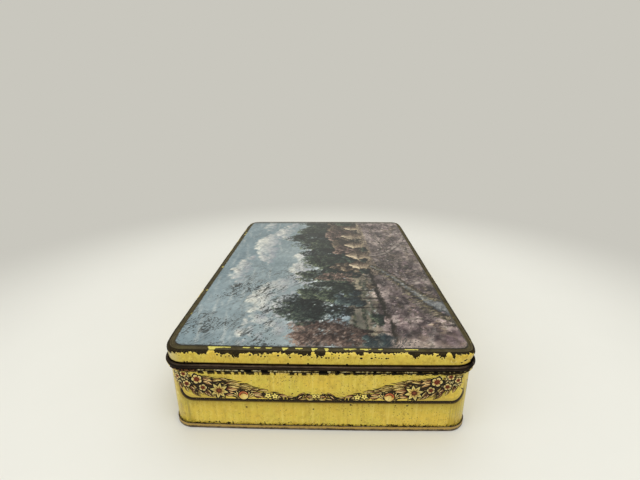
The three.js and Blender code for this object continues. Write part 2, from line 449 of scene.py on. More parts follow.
def paint_picture():
    rng = np.random.default_rng(1871)
    cv = Canvas()
    V, U = np.meshgrid(cv.v, cv.u, indexing="ij")
    t = np.clip((V - 62) / 97, 0, 1)[..., None]
    low, mid, top = np.array([164, 171, 170.0]), np.array([138, 152, 156.0]), np.array([128, 145, 152.0])
    sky = np.where(t < 0.5, low + (mid - low) * t * 2, mid + (top - mid) * (t * 2 - 1))
    haze = smooth_noise(sky.shape[:2], 70, rng, 5, 0.6)[..., None]
    cv.img[:] = sky + (haze - 0.5) * np.array([46, 40, 36.0])
    # brushwork in the open sky
    for _ in range(5200):
        u, v = rng.uniform(0, PIC_U), rng.uniform(60, PIC_V)
        j, i = min(int(u / PX), cv.nu - 1), min(int(v / PX), cv.nv - 1)
        cv.dab(u, v, rng.uniform(1.6, 5), rng.uniform(0.5, 1.5), rng.normal(0.12, 0.35), cv.img[i, j] + rng.normal(0, 5) * np.array([1.1, 1, 0.9]), 0.5, 0.7)
    for spot in [(52, 96, 40, 30, 110, 0.85), (18, 112, 22, 16, 40, 1.0), (158, 122, 42, 18, 90, 1.25), (200, 108, 30, 18, 60, 1.2), (100, 138, 30, 11, 44, 1.1),
                 (222, 132, 22, 12, 36, 1.0), (112, 88, 38, 16, 70, 1.2), (12, 80, 22, 12, 30, 1.0)]:
        cloud(cv, rng, *spot)
    for _ in range(90):
        u, v = rng.uniform(5, PIC_U), rng.uniform(118, 156)
        cv.dab(u, v, rng.uniform(6, 16), rng.uniform(0.5, 1.4), rng.normal(0.1, 0.08), (192, 194, 190), 0.3, 0.9)
    # far hills, then the nearer ones
    for k, (lift, tone) in enumerate([(9.0, (128, 140, 146)), (5.2, (106, 118, 120)), (1.6, (92, 98, 88))]):
        for u in np.arange(-2, PIC_U + 2, 0.8):
            h = horizon(u + 40 * k) + lift * (0.55 + 0.45 * math.sin(u / (23 - 4 * k) + k * 2.1)) - 1.2 * k
            for v in np.arange(50, h, 1.6):
                cv.dab(u, v, 1.5, 1.1, 0, np.array(tone) + rng.normal(0, 6), 0.8, 0.4)
    # the plain: broken strips of field
    field = smooth_noise((cv.nv, cv.nu), 60, rng, 4)
    for _ in range(4200):
        v = rng.uniform(36, 61)
        u = rng.uniform(0, PIC_U)
        far = (v - 36) / 25
        f = field[min(int(v / PX * 2.2) % cv.nv, cv.nv - 1), min(int(u / PX * 0.5), cv.nu - 1)]
        col = three((70, 66, 56), (112, 104, 90), (156, 142, 116), float(np.clip(f * 1.9 - 0.45 + rng.normal(0, 0.16), 0, 1)))
        cv.dab(u, v, rng.uniform(1.5, 5), rng.uniform(0.3, 0.8), rng.normal(0, 0.05), mixc(col, (120, 126, 126), 0.35 * far), 0.8, 0.4)
    for _ in range(40):  # hedges
        u0, v0 = rng.uniform(0, PIC_U), rng.uniform(46, 60)
        w = rng.uniform(8, 26)
        for k in range(int(w * 1.6)):
            cv.dab(u0 + k / 1.6, v0 + rng.normal(0, 0.4) + 0.6 * math.sin(k / 9), rng.uniform(0.5, 1), rng.uniform(0.4, 1.1), 0,
                   mixc((44, 52, 48), (90, 94, 76), rng.random()), 0.9, 0.4)
    # heath and foreground
    wave = smooth_noise((cv.nv, cv.nu), 34, rng, 5, 0.62)
    tone = smooth_noise((cv.nv, cv.nu), 80, rng, 3)
    cv.img[: int(42 / PX)] = mixc(cv.img[: int(42 / PX)], (112, 102, 100), 0.92)
    for n in range(20000):
        v = 45 * (1 - n / 20000) ** 0.9 + rng.normal(0, 2.5)
        u = rng.uniform(-2, PIC_U + 2)
        if v < -1:
            continue
        near = 1 - np.clip(v / 44, 0, 1)
        i, j = int(np.clip(v / PX, 0, cv.nv - 1)), int(np.clip(u / PX, 0, cv.nu - 1))
        w = float(np.clip((wave[i, j] - 0.5) * 2.9 + 0.44 + rng.normal(0, 0.15), 0, 1))
        a = three((58, 49, 52), (117, 104, 103), (172, 158, 152), w)
        b = three((56, 48, 44), (112, 100, 93), (166, 152, 142), w)
        mauve = float(np.clip((tone[i, j] - 0.28) * 5, 0, 1))
        cv.dab(u, v, rng.uniform(0.6, 1.7) * (0.7 + near), rng.uniform(0.22, 0.5) * (0.7 + near), rng.normal(0.05 + 0.7 * (wave[i, j] - 0.5), 0.3),
               mixc(b, a, mauve), rng.uniform(0.6, 1.0), 0.35)
    for _ in range(420):
        u, v = rng.uniform(60, PIC_U), rng.uniform(1, 40)
        a = 0.05 + 0.25 * math.sin(u / 23) + rng.normal(0, 0.15)
        length = rng.uniform(3, 11)
        cv.stroke([(u, v), (u + math.cos(a) * length, v + math.sin(a) * length * 0.6)], rng.uniform(0.4, 1.1), three((52, 44, 46), (126, 114, 110), (182, 170, 160), rng.random()), 0.55, 0.5)
    # stubble before the wood
    for _ in range(2600):
        u, v = rng.uniform(92, 224), rng.uniform(38, 50)
        cv.dab(u, v + 0.03 * (u - 170), rng.uniform(0.8, 2.4), 0.3, rng.normal(0.04, 0.08), three((88, 77, 68), (132, 118, 104), (172, 158, 136), rng.random()), 0.7, 0.4)
    # the track over the heath
    for k in range(1500):
        t = (k / 1500) ** 0.8
        v = 44 * (1 - t) - 1
        mid_u = 134 + 66 * t**1.3 - 18 * math.sin(t * 2.7)
        half = 1.2 + 8.5 * t
        cv.dab(mid_u + rng.normal(0, half * 0.5), v, 1.0 + 1.8 * t, 0.3 + 0.4 * t, 0.1, three((104, 92, 90), (150, 138, 132), (188, 176, 166), rng.random()), 0.6, 0.4)
        for side in (-0.62, 0.6):
            cv.dab(mid_u + side * half + rng.normal(0, 0.3), v, 0.7 + 1.1 * t, 0.25 + 0.22 * t, 0.2, (66, 56, 56), 0.6, 0.5)
    # stream with reflections and banks
    for k in range(3600):
        v = 50 * (1 - (k / 3600) ** 0.75)
        mid_u, half = stream(v)
        q = rng.uniform(-1, 1)
        u = mid_u + q * half
        near = 1 - v / 50
        shade = float(np.clip(0.52 + 0.34 * math.sin(q * 2.2 + 0.8 + 0.4 * math.sin(v * 1.3)) + rng.normal(0, 0.2), 0, 1))
        cv.dab(u, v, (0.5 + 1.8 * near), 0.2 + 0.26 * near, rng.normal(0, 0.04), three((46, 48, 50), (88, 90, 92), (132, 134, 134), shade), 0.85, 0.35)
    for k in range(2400):
        v = 49 * (1 - (k / 2400) ** 0.8)
        mid_u, half = stream(v)
        near = 1 - v / 50
        side = -1 if rng.random() < 0.5 else 1
        u = mid_u + side * (half + rng.exponential(0.5 + 1.2 * near))
        cv.dab(u, v - 0.3 * near, 0.5 + 1.3 * near, 0.3 + 0.4 * near, rng.normal(0, 0.3), three((34, 31, 28), (70, 62, 54), (122, 108, 86), rng.random() ** 1.3), 0.85, 0.35)
    green = ((26, 35, 36), (66, 78, 68), (132, 140, 112))
    deep = ((22, 30, 34), (52, 64, 62), (104, 116, 98))
    brown = ((46, 39, 35), (98, 86, 74), (152, 138, 116))
    rust = ((54, 43, 41), (112, 94, 86), (166, 146, 132))
    blue = ((30, 40, 46), (70, 84, 86), (122, 136, 130))
    # the wood, from the back
    for cu, cvv, ru, rv, pal, clumps in [
        (226, 76, 17, 28, deep, 26), (204, 82, 19, 27, green, 30), (180, 84, 19, 30, deep, 32), (157, 77, 16, 27, green, 28), (136, 76, 15, 26, deep, 24),
        (118, 72, 15, 23, green, 24), (100, 66, 12, 18, deep, 20), (108, 60, 10, 12, brown, 14), (212, 64, 18, 16, brown, 22), (190, 62, 17, 15, rust, 20), (168, 61, 15, 14, brown, 18), (147, 59, 12, 12, rust, 16),
        (128, 55, 10, 10, deep, 12), (230, 58, 12, 12, green, 12), (106, 55, 8, 9, brown, 12),
    ]:
        for _ in range(4):  # trunks that show at the foot
            x = cu + rng.uniform(-0.6, 0.6) * ru
            cv.stroke([(x, cvv - rv * 0.98), (x + rng.normal(0, 0.6), cvv - rv * 0.3)], 1.0, (48, 40, 36), 0.9, 0.2)
        crown(cv, rng, cu, cvv, ru, rv, pal, clumps, 230)
    for _ in range(700):  # shade under the wood
        u = rng.uniform(98, 236)
        cv.dab(u, rng.normal(46.5, 1.1), rng.uniform(0.8, 2.4), 0.5, 0, mixc((30, 32, 29), (74, 66, 54), rng.random()), 0.8, 0.45)
    # round ricks in front of the wood, thatched, with straw round their feet
    for u0, v0, w, h in [(112, 42.5, 7.5, 15), (134, 40.5, 9.5, 19), (160, 43.5, 8.0, 16), (186, 42.0, 10.0, 20), (213, 45.0, 7.0, 13)]:
        for _ in range(120):
            cv.dab(u0 + w * 0.5 + rng.normal(0, w * 0.7), v0 - 0.2 + rng.normal(0, 0.7), 1.4, 0.45, 0, (58, 48, 42), 0.6, 0.5)
        for _ in range(1300):  # body: bulging sides under an eave
            q, r = rng.uniform(-1, 1), rng.random()
            side = w * (0.80 + 0.20 * r)
            lit = 0.55 - 0.55 * q + 0.10 * math.sin(r * 30) + rng.normal(0, 0.18)
            cv.dab(u0 + q * side, v0 + h * 0.48 * r, 0.5, 0.24, rng.normal(0, 0.25), three((58, 49, 44), (116, 101, 87), (172, 156, 132), float(np.clip(lit, 0, 1))), 0.9, 0.35)
        for _ in range(1500):  # thatched cap
            q, r = rng.uniform(-1, 1), rng.random() ** 1.15
            side = w * 1.16 * (1 - r) ** 0.72
            lit = 0.60 - 0.60 * q - 0.12 * (r < 0.08) + rng.normal(0, 0.17)
            cv.dab(u0 + q * side, v0 + h * (0.44 + 0.56 * r), 0.22, 0.75, -q * 0.75 * (0.4 + 0.6 * (1 - r)), three((66, 56, 50), (128, 113, 97), (190, 174, 148), float(np.clip(lit, 0, 1))), 0.9, 0.35)
        for _ in range(60):
            q = rng.uniform(-1.15, 1.15)
            cv.dab(u0 + q * w, v0 + h * 0.44, 0.5, 0.35, 0, (54, 42, 34), 0.7, 0.5)
        cv.stroke([(u0 + 0.2, v0 + h), (u0 + 0.5, v0 + h * 1.16)], 0.5, (70, 54, 42), 0.9)
        for _ in range(90):
            cv.dab(u0 + rng.normal(0, w), v0 - rng.uniform(0, 2.2), 1.0, 0.22, rng.normal(0, 0.2), three((104, 92, 78), (150, 136, 114), (194, 180, 152), rng.random()), 0.8, 0.4)
    # a ladder against one of them
    for du in (0, 1.7):
        cv.stroke([(174.5 + du, 40.5), (180.5 + du, 58)], 0.55, (44, 36, 32), 0.95)
    for k in range(9):
        cv.stroke([(175 + 0.65 * k, 42 + 1.9 * k), (176.6 + 0.65 * k, 41.8 + 1.9 * k)], 0.45, (60, 50, 44), 0.9)
    # three tall trees on the left and a thin one beside them
    for cu, foot, cvv, ru, rv, pal, clumps in [(15, 38, 74, 16, 24, rust, 28), (42, 40, 84, 18, 27, deep, 40), (66, 42, 73, 14, 21, green, 28), (54, 41, 60, 10, 12, blue, 16), (90, 43, 76, 12, 21, green, 26)]:
        cv.stroke([(cu, foot), (cu + 1, cvv - rv * 0.4), (cu - 1.5, cvv + rv * 0.3)], 2.2, (48, 39, 35), 0.95, 0.55)
        cv.stroke([(cu + 0.5, foot + 8), (cu + ru * 0.4, cvv - rv * 0.15)], 1.1, (54, 44, 38), 0.9, 0.4)
        cv.stroke([(cu + 0.2, foot + 11), (cu - ru * 0.42, cvv)], 1.0, (46, 38, 34), 0.9, 0.4)
        for _ in range(260):
            cv.dab(cu + rng.normal(2, 7), foot - abs(rng.normal(0, 1.3)), 1.3, 0.4, 0, (48, 43, 37), 0.6, 0.5)
        crown(cv, rng, cu, cvv, ru, rv, pal, clumps, 240, 1.0, 0.4)
    cv.stroke([(88, 40), (87.2, 52), (89.2, 64), (88, 78)], 1.3, (66, 52, 45), 0.95, 0.5)
    for _ in range(26):
        k = rng.uniform(0.35, 1)
        p = np.array([np.interp(k * 38 + 40, [40, 52, 64, 78], [88, 87.2, 89.2, 88]), 40 + 38 * k])
        a = rng.uniform(0.3, 2.8)
        q = p + np.array([math.cos(a), math.sin(a)]) * rng.uniform(3.5, 8) * (1.2 - 0.6 * k)
        cv.stroke([p, (p + q) / 2 + rng.normal(0, 0.5, 2), q], 0.5, (66, 52, 44), 0.9, 0.5)
        for _ in range(34):
            cv.dab(*(q + rng.normal(0, 1.6, 2)), rng.uniform(0.3, 0.7), rng.uniform(0.25, 0.45), rng.uniform(0, 3), three(*rust, rng.random()), 0.9, 0.35)
    # bushes on the far bank
    for cu, cvv, ru, rv, pal in [(99, 46, 7, 5, deep), (6, 46, 9, 9, blue), (74, 44, 6, 4.5, brown), (28, 43, 8, 5, green), (122, 44, 5, 3.2, deep), (148, 43, 5, 3.6, green)]:
        crown(cv, rng, cu, cvv, ru, rv, pal, 10, 90, 0.9)
    # fence over the heath
    rail = []
    for k in range(10):
        u, v = 136 + 10.6 * k, 15.5 + 1.9 * k + 1.1 * math.sin(k * 1.7)
        h = 10 - 0.5 * k
        lean = rng.normal(0, 0.6)
        cv.stroke([(u, v), (u + lean, v + h)], 1.7 - 0.09 * k, (40, 33, 33), 0.95)
        cv.stroke([(u - 0.45, v + 0.4), (u + lean - 0.45, v + h - 0.3)], 0.5, (164, 150, 138), 0.85)
        for _ in range(14):
            cv.dab(u + rng.uniform(0, 5), v + rng.normal(-0.2, 0.3), 0.9, 0.3, 0.05, (58, 49, 50), 0.7, 0.5)
        rail.append((u + lean * 0.7, v + h * 0.76, v + h * 0.42))
    for row in (1, 2):
        for a, b in zip(rail[:-1], rail[1:]):
            if row == 2 and a is rail[3]:
                continue  # a fallen rail
            cv.stroke([(a[0], a[row]), ((a[0] + b[0]) / 2, (a[row] + b[row]) / 2 - 0.35), (b[0], b[row])], 0.8, (52, 44, 43), 0.95)
            cv.stroke([(a[0], a[row] + 0.35), (b[0], b[row] + 0.35)], 0.35, (170, 156, 144), 0.75)
    # a felled log, stones and tussocks in front
    for k in range(160):
        q, r = rng.random(), rng.uniform(-1, 1)
        cv.dab(196 + 26 * q, 11.5 - 4.2 * q + r * (2.4 - 0.6 * q), 1.2, 0.3, -0.16, three((38, 31, 32), (96, 84, 80), (158, 144, 134), float(np.clip(0.5 + 0.45 * r + rng.normal(0, 0.15), 0, 1))), 0.9, 0.35)
    for r, tone_ in ((2.3, (168, 152, 136)), (1.6, (120, 102, 90)), (1.1, (160, 142, 122)), (0.5, (88, 72, 64))):
        cv.dab(196, 11.6, r * 0.7, r, 0.1, tone_, 0.95, 0.25)
    for _ in range(150):
        u, v = rng.uniform(70, PIC_U), rng.uniform(1, 36)
        r = rng.uniform(0.4, 1.4)
        cv.dab(u + r * 0.5, v - r * 0.35, r * 1.3, r * 0.6, 0, (50, 43, 45), 0.8, 0.4)
        cv.dab(u, v, r, r * 0.62, rng.normal(0, 0.2), three((110, 100, 99), (150, 140, 136), (194, 184, 174), rng.random()), 0.9, 0.3)
    for _ in range(420):  # grass and heather in clumps
        u, v = rng.uniform(0, PIC_U), rng.uniform(-1, 32)
        mid_u, half = stream(max(v, 0))
        if abs(u - mid_u) < half:
            continue
        near = 1 - v / 36
        pal = [((34, 33, 31), (82, 76, 70), (146, 138, 126)), ((52, 40, 45), (118, 100, 104), (176, 158, 158)), ((44, 36, 33), (104, 90, 80), (166, 152, 134))][int(rng.integers(3))]
        for _ in range(int(rng.integers(7, 18))):
            a = math.pi / 2 + rng.normal(0, 0.4)
            h = rng.uniform(1.0, 3.0) * (0.6 + near)
            p = np.array([u + rng.normal(0, 1.3 + near), v + rng.normal(0, 0.6)])
            cv.dab(p[0] + math.cos(a) * h / 2, p[1] + math.sin(a) * h / 2, h / 2, 0.24, a, three(*pal, rng.random()), 0.9, 0.35)
    for _ in range(260):  # reeds by the water
        v = rng.uniform(1, 36)
        mid_u, half = stream(v)
        near = 1 - v / 42
        side = -1 if rng.random() < 0.55 else 1
        u = mid_u + side * (half + abs(rng.normal(0, 1.2)) - 0.4)
        h = rng.uniform(3, 7) * (0.45 + near * 0.8)
        a = math.pi / 2 + rng.normal(0, 0.16)
        cv.stroke([(u, v), (u + math.cos(a) * h, v + math.sin(a) * h)], 0.5, three((38, 37, 33), (98, 92, 76), (172, 162, 132), rng.random()), 0.9, 0.6)
    for _ in range(50):  # light on the water
        v = rng.uniform(0, 42)
        mid_u, half = stream(v)
        cv.dab(mid_u + rng.uniform(-0.7, 0.7) * half, v, 0.4 + 1.8 * (1 - v / 50), 0.2, 0, (160, 162, 160), 0.8, 0.4)
    cv.img = sharpen(cv.img, 4, 0.7)
    grey = cv.img.mean(2, keepdims=True)
    cv.img = grey + (cv.img - grey) * 0.86
    cv.img = (cv.img - 124) * 1.20 + 115
    grain = smooth_noise((cv.nv, cv.nu), 2.6, rng, 2)[..., None]
    broad = smooth_noise((cv.nv, cv.nu), 26, rng, 3)[..., None]
    cv.img *= 1 + (grain - 0.5) * 0.26 + (broad - 0.5) * 0.12
    # the ground is lighter towards the near end
    ground = np.clip((52 - V) / 10, 0, 1) * (0.20 * np.clip((46 - U) / 30, 0, 1) - 0.10 * np.clip((U - 55) / 25, 0, 1) * np.clip((170 - U) / 30, 0, 1))
    cv.img *= (1 + ground)[..., None]
    # the ground's speckle is soft, most of all at the near end
    calm = smooth_noise((cv.nv, cv.nu), 9, rng, 2)[..., None]
    soft = sharpen(cv.img, 3, -1.0)
    k = np.clip((54 - V) / 8, 0, 1) * (0.12 + 0.52 * np.clip((22 - U) / 8, 0, 1))
    cv.img += (soft - cv.img) * k[..., None]
    cv.img *= 1 + (calm - 0.5) * 0.30 * np.clip((54 - V) / 8, 0, 1)[..., None]
    # long scratches, which lean the way that tins are slid under one another, and short nicks among them
    dull = np.array([84, 88, 88.0])
    for _ in range(36):
        u, v = 10 + 76 * rng.random(), 100 + 46 * rng.random()
        a = rng.normal(-0.42, 0.16)
        n, length = 7, rng.uniform(10, 34)
        bend = rng.normal(0.10, 0.10)
        pts = [(u, v)]
        for k in range(n):
            a += bend / n + rng.normal(0, 0.05)
            pts.append((pts[-1][0] + math.cos(a) * length / n, pts[-1][1] + math.sin(a) * length / n))
        for a_, b_ in zip(pts[:-1], pts[1:]):
            if rng.random() < 0.8:
                cv.stroke([a_, b_], 0.40, dull + rng.normal(-14, 8), rng.uniform(0.3, 0.8))
    for _ in range(26):
        u, v = rng.uniform(4, 232), rng.uniform(4, 155)
        a = rng.normal(-0.5, 0.5)
        length = rng.uniform(6, 20)
        cv.stroke([(u, v), (u + math.cos(a) * length, v + math.sin(a) * length)], 0.4, dull if rng.random() < 0.6 else (196, 198, 194), 0.45)
    return cv


def sample(img, u, v):
    """Bilinear look-up of canvas colours at picture places in mm."""
    y, x = np.clip(v / PX - 0.5, 0, img.shape[0] - 1.001), np.clip(u / PX - 0.5, 0, img.shape[1] - 1.001)
    i, j = y.astype(int), x.astype(int)
    fy, fx = (y - i)[:, None], (x - j)[:, None]
    return (img[i, j] * (1 - fx) + img[i, j + 1] * fx) * (1 - fy) + (img[i + 1, j] * (1 - fx) + img[i + 1, j + 1] * fx) * fy


# ================================================================ the lid
PANEL_GRID_D = -6.6  # where the fine grid of the picture panel meets the swept rings
GRID_STEP = 0.8
PICTURE, ENAMEL, CURL, LID_INSIDE = 0, 1, 2, 3


def lid_section():
    top, foot, edge = HEIGHT - HALF, -4.9, -HALF
    border = top - 0.7
    mid = chain(
        line((-6.3, top), (foot - 1.05, top)),
        bezier((foot - 1.05, top), (foot - 0.525, top), (foot - 0.525, border), (foot, border), 9),
        line((foot, border), (edge - LID_EDGE_R, border), 4),
        arc(edge - LID_EDGE_R, border - LID_EDGE_R, LID_EDGE_R, LID_EDGE_R, 90, 0, 14),
        line((edge, border - LID_EDGE_R), (edge, 42.85), 18),
        arc(edge + 0.9, 42.85, 0.9, 1.2, 180, 180 + 296, 34),
    )
    left, right = sheet_faces(mid)  # the walk goes outwards and down, so the left face is the outside
    kinds = []
    for a, b in zip(mid[:-1], mid[1:]):
        m = ((a[0] + b[0]) / 2, (a[1] + b[1]) / 2)
        kinds.append(PICTURE if m[0] < -5.3 else ENAMEL if (m[0] < edge + 0.01 and m[1] > 42.85) else CURL)
    return left, right, kinds


def dents(pts, normal):
    """Slight waves in the skirt and border, and one small ding low on the front near its right end."""
    x, y, z = pts.T
    free = np.clip((edge_distance(x, y) + 5.5) / 1.5, 0, 1) * np.clip((52.2 - z) / 1.0, 0.15, 1)
    wave = 0.05 * np.sin(x / 17 + 1.3) * np.sin(y / 23 + 0.4) + 0.035 * np.sin(x / 7.1 + y / 9.3)
    out = wave * free
    ding = np.exp(-(((x - 70.2) / 1.2) ** 2 + ((z - 46.9) / 0.85) ** 2)) * (y < -118)
    ring = np.exp(-(((x - 70.2) / 1.5) ** 2 + ((z - 45.9) / 0.6) ** 2)) * (y < -118)
    out = out + 0.42 * ding - 0.22 * ring
    pts = pts.copy()
    pts[:, :2] += normal * out[:, None]
    return pts


def build_lid(materials):
    canvas = paint_picture()
    b = Build()
    left, right, kinds = lid_section()
    front = S_SIDE["front"]
    fine = [front + 70.2 + k * 0.4 for k in range(-7, 7)]
    s = stations(4.2, 5.2, 16, fine)
    # outside from the panel to the curl's end, then back along the inside
    section = list(map(tuple, left)) + list(map(tuple, right[::-1]))
    mats = kinds + [CURL] + [CURL if k == CURL else LID_INSIDE for k in kinds[::-1]]
    # walked with the material on its left: from the inside out, so the list is turned round
    section, mats = section[::-1], mats[::-1]
    first, last = b.sweep(section, s, mats, dents)
    # picture panel: rows across X, with the end rows following the rounded corners
    r = R + PANEL_GRID_D
    ends = [r * math.sin(math.radians(90 * k / 8)) for k in range(1, 9)]
    n = round(2 * HY / GRID_STEP)
    rows = [(-HY - e, math.sqrt(max(r * r - e * e, 0))) for e in ends[::-1]]
    rows += [(-HY + 2 * HY * k / n, r) for k in range(n + 1)]
    rows += [(HY + e, math.sqrt(max(r * r - e * e, 0))) for e in ends]
    nx = round(2 * (HX + r) / GRID_STEP)
    top = HEIGHT
    grid = np.array([[(-(HX + w) + 2 * (HX + w) * k / nx, y, top) for k in range(nx + 1)] for y, w in rows])
    start = b.add(grid.reshape(-1, 3))
    ids = np.arange(len(rows) * (nx + 1)).reshape(len(rows), nx + 1) + start
    for i in range(len(rows) - 1):
        for k in range(nx):
            b.face((ids[i, k], ids[i, k + 1], ids[i + 1, k + 1], ids[i + 1, k]), PICTURE)
    loop = list(ids[0, :-1]) + list(ids[:-1, -1]) + list(ids[-1, :0:-1]) + list(ids[:0:-1, 0])
    xyz = np.concatenate(b.verts)
    m = len(s)
    ring_top = list(range(last, last + m))
    b.zip(loop, s_of(xyz[loop, 0], xyz[loop, 1]), ring_top, s, PICTURE)
    # underside of the panel: a coarser grid of the same kind
    ring_low = list(range(first, first + m))
    r2 = R - 8.0
    ends = [r2 * math.sin(math.radians(90 * k / 4)) for k in range(1, 5)]
    rows2 = [(-HY - e, math.sqrt(max(r2 * r2 - e * e, 0))) for e in ends[::-1]]
    rows2 += [(-HY + 2 * HY * k / 36, r2) for k in range(37)]
    rows2 += [(HY + e, math.sqrt(max(r2 * r2 - e * e, 0))) for e in ends]
    n2 = 24
    grid2 = np.array([[(-(HX + w) + 2 * (HX + w) * k / n2, y, top - 2 * HALF) for k in range(n2 + 1)] for y, w in rows2])
    start2 = b.add(grid2.reshape(-1, 3))
    ids2 = np.arange(len(rows2) * (n2 + 1)).reshape(len(rows2), n2 + 1) + start2
    for i in range(len(rows2) - 1):
        for k in range(n2):
            b.face((ids2[i, k], ids2[i + 1, k], ids2[i + 1, k + 1], ids2[i, k + 1]), LID_INSIDE)
    loop2 = list(ids2[0, :-1]) + list(ids2[:-1, -1]) + list(ids2[-1, :0:-1]) + list(ids2[:0:-1, 0])
    xyz = np.concatenate(b.verts)
    b.zip(loop2, s_of(xyz[loop2, 0], xyz[loop2, 1]), ring_low, s, LID_INSIDE, flip=True)
    me = b.mesh("lid_sheet", lambda p: bow(spread(p)))
    xyz = np.concatenate(b.verts)
    x, y = xyz[:, 0], xyz[:, 1]
    store(me, "edge", edge_distance(x, y))
    img = canvas.img
    u, v = y + PIC_U / 2, PIC_V / 2 - x
    rng = np.random.default_rng(77)
    # the second variant looks a little to one side, so that the shader can break the edges of each dab
    shift = [(smooth_noise((canvas.nv, canvas.nu), 5, rng, 2) - 0.5) * 4.2 for _ in range(2)]
    at = (np.clip((v / PX).astype(int), 0, canvas.nv - 1), np.clip((u / PX).astype(int), 0, canvas.nu - 1))
    for name, du, dv in (("paint_a", 0, 0), ("paint_b", shift[0][at], shift[1][at])):
        colour = sample(img, u + du, v + dv)
        store(me, name, np.column_stack([srgb(*np.clip(colour, 0, 255).T).T, np.ones(len(x))]))
    return place(me, "lid_shell_fine", materials, "lid", "lid_shell")


# ================================================================ the festoon on the walls
class Print:
    """Printed shapes in (s, z), drawn in order: a later one lies on an earlier one."""

    def __init__(self):
        self.polys, self.specs, self.mass = [], [], []

    def add(self, pts, spec):
        pts = np.asarray(pts, float)
        area = np.sum(pts[:, 0] * np.roll(pts[:, 1], -1) - pts[:, 1] * np.roll(pts[:, 0], -1))
        self.polys.append(pts if area > 0 else pts[::-1])
        self.specs.append(spec)


INK = (20, 13, 6)
CREAM = (238, 220, 146)


def turn(pts, angle, x, z, flip=1):
    c, s = math.cos(angle), math.sin(angle)
    pts = np.asarray(pts, float)
    q = np.column_stack([pts[:, 0] * c - pts[:, 1] * s, pts[:, 0] * s + pts[:, 1] * c])
    return q * np.array([flip, 1]) + np.array([x, z])


